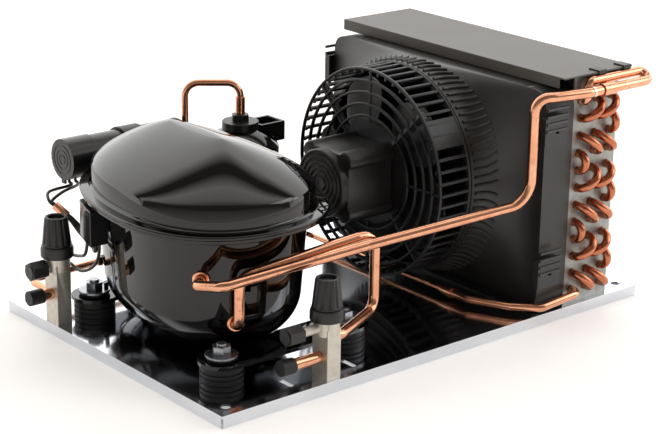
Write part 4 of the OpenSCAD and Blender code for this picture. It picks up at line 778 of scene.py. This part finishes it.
# Fan guard. One moulded basket: rings and ribs across the front, ribs along
# the drum with open slots between them, one closed panel, and four arms that
# carry the disc to which the motor is screwed.
guard_front = 30 * MM
guard_place = fan_axis + Vector((guard_front, 0, 0))
guard_frame = Matrix.Translation(guard_place) @ Matrix.Rotation(radians(90), 4, "Y")
guard_radius = 89.9 * MM
guard_depth = 36 * MM
ring_count = 5
ring_pitch = 10 * MM
ring_wide = 2.4 * MM
ring_thick = 3 * MM
back_ring_wide = 5 * MM
guard = bmesh.new()


def hoop(shape, radius, wide, low, high, segments=120):
    """Adds a ring with rounded edges about the fan's axis."""
    section = bmesh.ops.create_circle(shape, segments=10, radius=1)["verts"]
    for vert in section:
        across, up = bow(vert.co.x, 3), bow(vert.co.y, 3)
        vert.co = (radius - wide / 2 + wide / 2 * across, 0, (low + high) / 2 + (high - low) / 2 * up)
    edges = list({edge for vert in section for edge in vert.link_edges})
    bmesh.ops.spin(shape, geom=section + edges, cent=(0, 0, 0), axis=(0, 0, 1), dvec=(0, 0, 0), angle=2 * pi,
                   steps=segments, use_merge=True)


def plate(shape, outline, thick, place):
    """Adds a flat rib: an outline in (radius, depth), as thick as given, turned into place."""
    verts = [shape.verts.new((x, -thick / 2, z)) for x, z in outline]
    face = shape.faces.new(verts)
    grown = bmesh.ops.extrude_face_region(shape, geom=[face])["geom"]
    far = [g for g in grown if isinstance(g, bmesh.types.BMVert)]
    bmesh.ops.translate(shape, verts=far, vec=(0, thick, 0))
    rims = {e for v in verts + far for e in v.link_edges
            if abs(e.verts[0].co.y - e.verts[1].co.y) < thick / 2}
    made = bmesh.ops.bevel(shape, geom=list(rims), affect="EDGES", offset=thick * 0.22, segments=2,
                           profile=0.5, material=-1)
    bmesh.ops.transform(shape, matrix=place, verts=list(set(verts + far + made["verts"]) & set(shape.verts)))


for i in range(ring_count):
    hoop(guard, guard_radius - i * ring_pitch, ring_wide, 0, ring_thick)
hoop(guard, guard_radius, back_ring_wide, guard_depth - ring_thick, guard_depth)
rib_count = 56
rib_thick = 2.8 * MM
rib = [(85, 0.6), (87, 0.6), (88.6, 1.5), (89.3, 3.6), (89.3, 34.5), (86.3, 34.5), (86.3, 5), (85.6, 3.4),
       (85, 3)]
rib_shape = bmesh.new()
plate(rib_shape, [(x * MM, z * MM) for x, z in rib], rib_thick, Matrix.Identity(4))
rib_mesh = bpy.data.meshes.new("rib")
rib_shape.to_mesh(rib_mesh)
for i in range(rib_count):
    before = set(guard.verts)
    guard.from_mesh(rib_mesh)
    turn = Matrix.Rotation(2 * pi * i / rib_count, 4, "Z")
    bmesh.ops.transform(guard, matrix=turn, verts=[v for v in guard.verts if v not in before])
bpy.data.meshes.remove(rib_mesh)
spoke_count = 8
spoke_thick = 2.2 * MM
spoke = [(43, 0.8), (88, 0.8), (88, 2.8), (43, 2.8)]
for i in range(spoke_count):
    turn = Matrix.Rotation(2 * pi * i / spoke_count, 4, "Z")
    plate(guard, [(x * MM, z * MM) for x, z in spoke], spoke_thick, turn)
arm_count = 4
arm_wide = 8 * MM
arm = [(42, 2), (89, 2), (89, 6), (42, 6)]
for i in range(arm_count):
    turn = Matrix.Rotation(2 * pi * (i + 0.5) / arm_count, 4, "Z")
    plate(guard, [(x * MM, z * MM) for x, z in arm], arm_wide, turn)
panel_start = radians(229)
panel_sweep = radians(16)
panel_section = [(86.9, 0.6), (89.3, 0.6), (89.3, 35.4), (86.9, 35.4)]
panel = bmesh.ops.create_circle(guard, segments=4, radius=MM)["verts"]
for vert, (x, z) in zip(panel, panel_section):
    vert.co = Vector((x, 0, z)) * MM
bmesh.ops.rotate(guard, verts=panel, cent=(0, 0, 0), matrix=Matrix.Rotation(panel_start, 3, "Z"))
panel_face = bmesh.ops.contextual_create(guard, geom=panel)["faces"]
panel_geom = panel + list({e for v in panel for e in v.link_edges}) + panel_face
bmesh.ops.spin(guard, geom=panel_geom, cent=(0, 0, 0), axis=(0, 0, 1), dvec=(0, 0, 0), angle=panel_sweep,
               steps=8)
disc_section = [(19, 3), (44, 3), (44, 6), (19, 6)]
disc = bmesh.ops.create_circle(guard, segments=4, radius=MM)["verts"]
for vert, (x, z) in zip(disc, disc_section):
    vert.co = Vector((x, 0, z)) * MM
bmesh.ops.spin(guard, geom=disc + list({e for v in disc for e in v.link_edges}), cent=(0, 0, 0),
               axis=(0, 0, 1), dvec=(0, 0, 0), angle=2 * pi, steps=72, use_merge=True)
bmesh.ops.recalc_face_normals(guard, faces=guard.faces)
bmesh.ops.transform(guard, matrix=guard_frame, verts=guard.verts)
install(object_of(guard, "guard_moulding", nylon), "black_plastic", "unit", "fan_guard")

# Fan motor. A moulded square case with a raised post at each corner, closed by
# a round cap with ringed grooves. It is screwed to the guard's disc.
case_half = 31 * MM
post_radius = 11 * MM
post_slope = 4 * MM
post_edge = Vector((1.2, 1.4)) * MM
panel_in = 3 * MM
case_back = -45 * MM
case_front = 3 * MM
case_round = 1.5 * MM
motor_case = bmesh.new()
outline = []
for quarter in range(4):
    turn = Matrix.Rotation(radians(90 * quarter), 3, "Z")
    corner = case_half - post_radius
    points = [(case_half - panel_in, post_slope - corner), (case_half - panel_in, corner - post_slope),
              (case_half - post_edge.x, corner - post_edge.y), (case_half, corner)]
    points += [(corner + post_radius * cos(radians(a)), corner + post_radius * sin(radians(a)))
               for a in range(10, 90, 10)]
    points += [(corner, case_half), (corner - post_edge.y, case_half - post_edge.x)]
    outline += [turn @ Vector((x, y, 0)) for x, y in points]
face = motor_case.faces.new([motor_case.verts.new((p.x, p.y, case_back)) for p in outline])
grown = bmesh.ops.extrude_face_region(motor_case, geom=[face])["geom"]
bmesh.ops.translate(motor_case, verts=[g for g in grown if isinstance(g, bmesh.types.BMVert)],
                    vec=(0, 0, case_front - case_back))
ends = [e for e in motor_case.edges if abs(e.verts[0].co.z - e.verts[1].co.z) < MM]
bmesh.ops.bevel(motor_case, geom=ends, affect="EDGES", offset=case_round, segments=3, profile=0.5,
                material=-1)
cap_back = -52
groove_count = 5
groove_pitch = 4.6
cap_face = [(0.01, 0.6), (4, 0)]
for i in range(groove_count):
    cap_face += [(x + groove_pitch * i, z) for x, z in ((5.5, 0), (6.2, 1.2), (7.6, 1.2), (8.4, 0))]
cap_face += [(28.2, 0.2), (29, 1.2), (29, 7.5)]
revolved(motor_case, [(x, cap_back + z) for x, z in cap_face], 72)
bmesh.ops.holes_fill(motor_case, edges=motor_case.edges)
bmesh.ops.recalc_face_normals(motor_case, faces=motor_case.faces)
bmesh.ops.transform(motor_case, matrix=guard_frame, verts=motor_case.verts)
# Satin black paint lifts the posts' edges. Lacquered winding wire is a dark,
# warm brown with a low metallic glint.
motor_paint = finish("satin_black_painted_steel", "1D1C1B", "242322", 16 * MM, 0.33, 0.08, skin=1 * MM,
                     depth=0.03 * MM)
install(object_of(motor_case, "motor_case", motor_paint), "gloss_plastic", "unit", "motor_housing")
winding = finish("lacquered_copper_winding", "7A3E1E", "8E4C28", 2 * MM, 0.35, 0.08, metallic=0.6,
                 skin=0.7 * MM, depth=0.15 * MM)
refinish("motor_stator", winding)
eased("motor_shaft", zinc_plate, "zinc_steel", 0.4 * MM, "fan")

# Fan. Five wide sickle blades stand on a cup shaped hub, moulded in one of the
# same black nylon as the guard and pressed on the motor's shaft.
hub = [(0.01, 25.2), (18, 25.2), (21, 24.2), (22, 22), (22, 11.8), (20.4, 11.8), (20.4, 22.6), (0.01, 23.4)]
fan_shape = bmesh.new()
revolved(fan_shape, hub, 48)
bmesh.ops.holes_fill(fan_shape, edges=fan_shape.edges)
blade_count = 5
blade_sheet = 1.8 * MM
blade_root = 21 * MM
blade_length = 58.5 * MM
blade_middle = 18.5 * MM
blade_rise = 13 * MM
blade_lean = radians(14)
for i in range(blade_count):
    blade = bmesh.ops.create_grid(fan_shape, x_segments=12, y_segments=10, size=0.5)["verts"]
    for vert in blade:
        out, across = vert.co.x + 0.5, vert.co.y
        spread = radians(34 + 26 * sin(pi * out * 0.9))
        radius = (blade_root + blade_length * out) * (1 - 0.1 * (2 * across) ** 4 * out)
        turn = 2 * pi * i / blade_count + spread * across * 1.1 + blade_lean * out * out
        height = blade_middle - blade_rise * across * (1 - 0.3 * out)
        vert.co = (radius * cos(turn), radius * sin(turn), height)
    faces = list({face for vert in blade for face in vert.link_faces})
    bmesh.ops.solidify(fan_shape, geom=faces, thickness=blade_sheet)
bmesh.ops.recalc_face_normals(fan_shape, faces=fan_shape.faces)
bmesh.ops.transform(fan_shape, matrix=guard_frame, verts=fan_shape.verts)
install(object_of(fan_shape, "fan_moulding", nylon), "black_plastic", "fan", "fan_blades")

# Screws. Zinc plated steel with flat cheese heads, slotted below the tray. They
# hold the valves, the bracket, the receiver and the condenser from below, and
# the motor to the guard.
eased("unit_screws", zinc_plate, "zinc_steel", 0.2 * MM)

low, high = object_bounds()
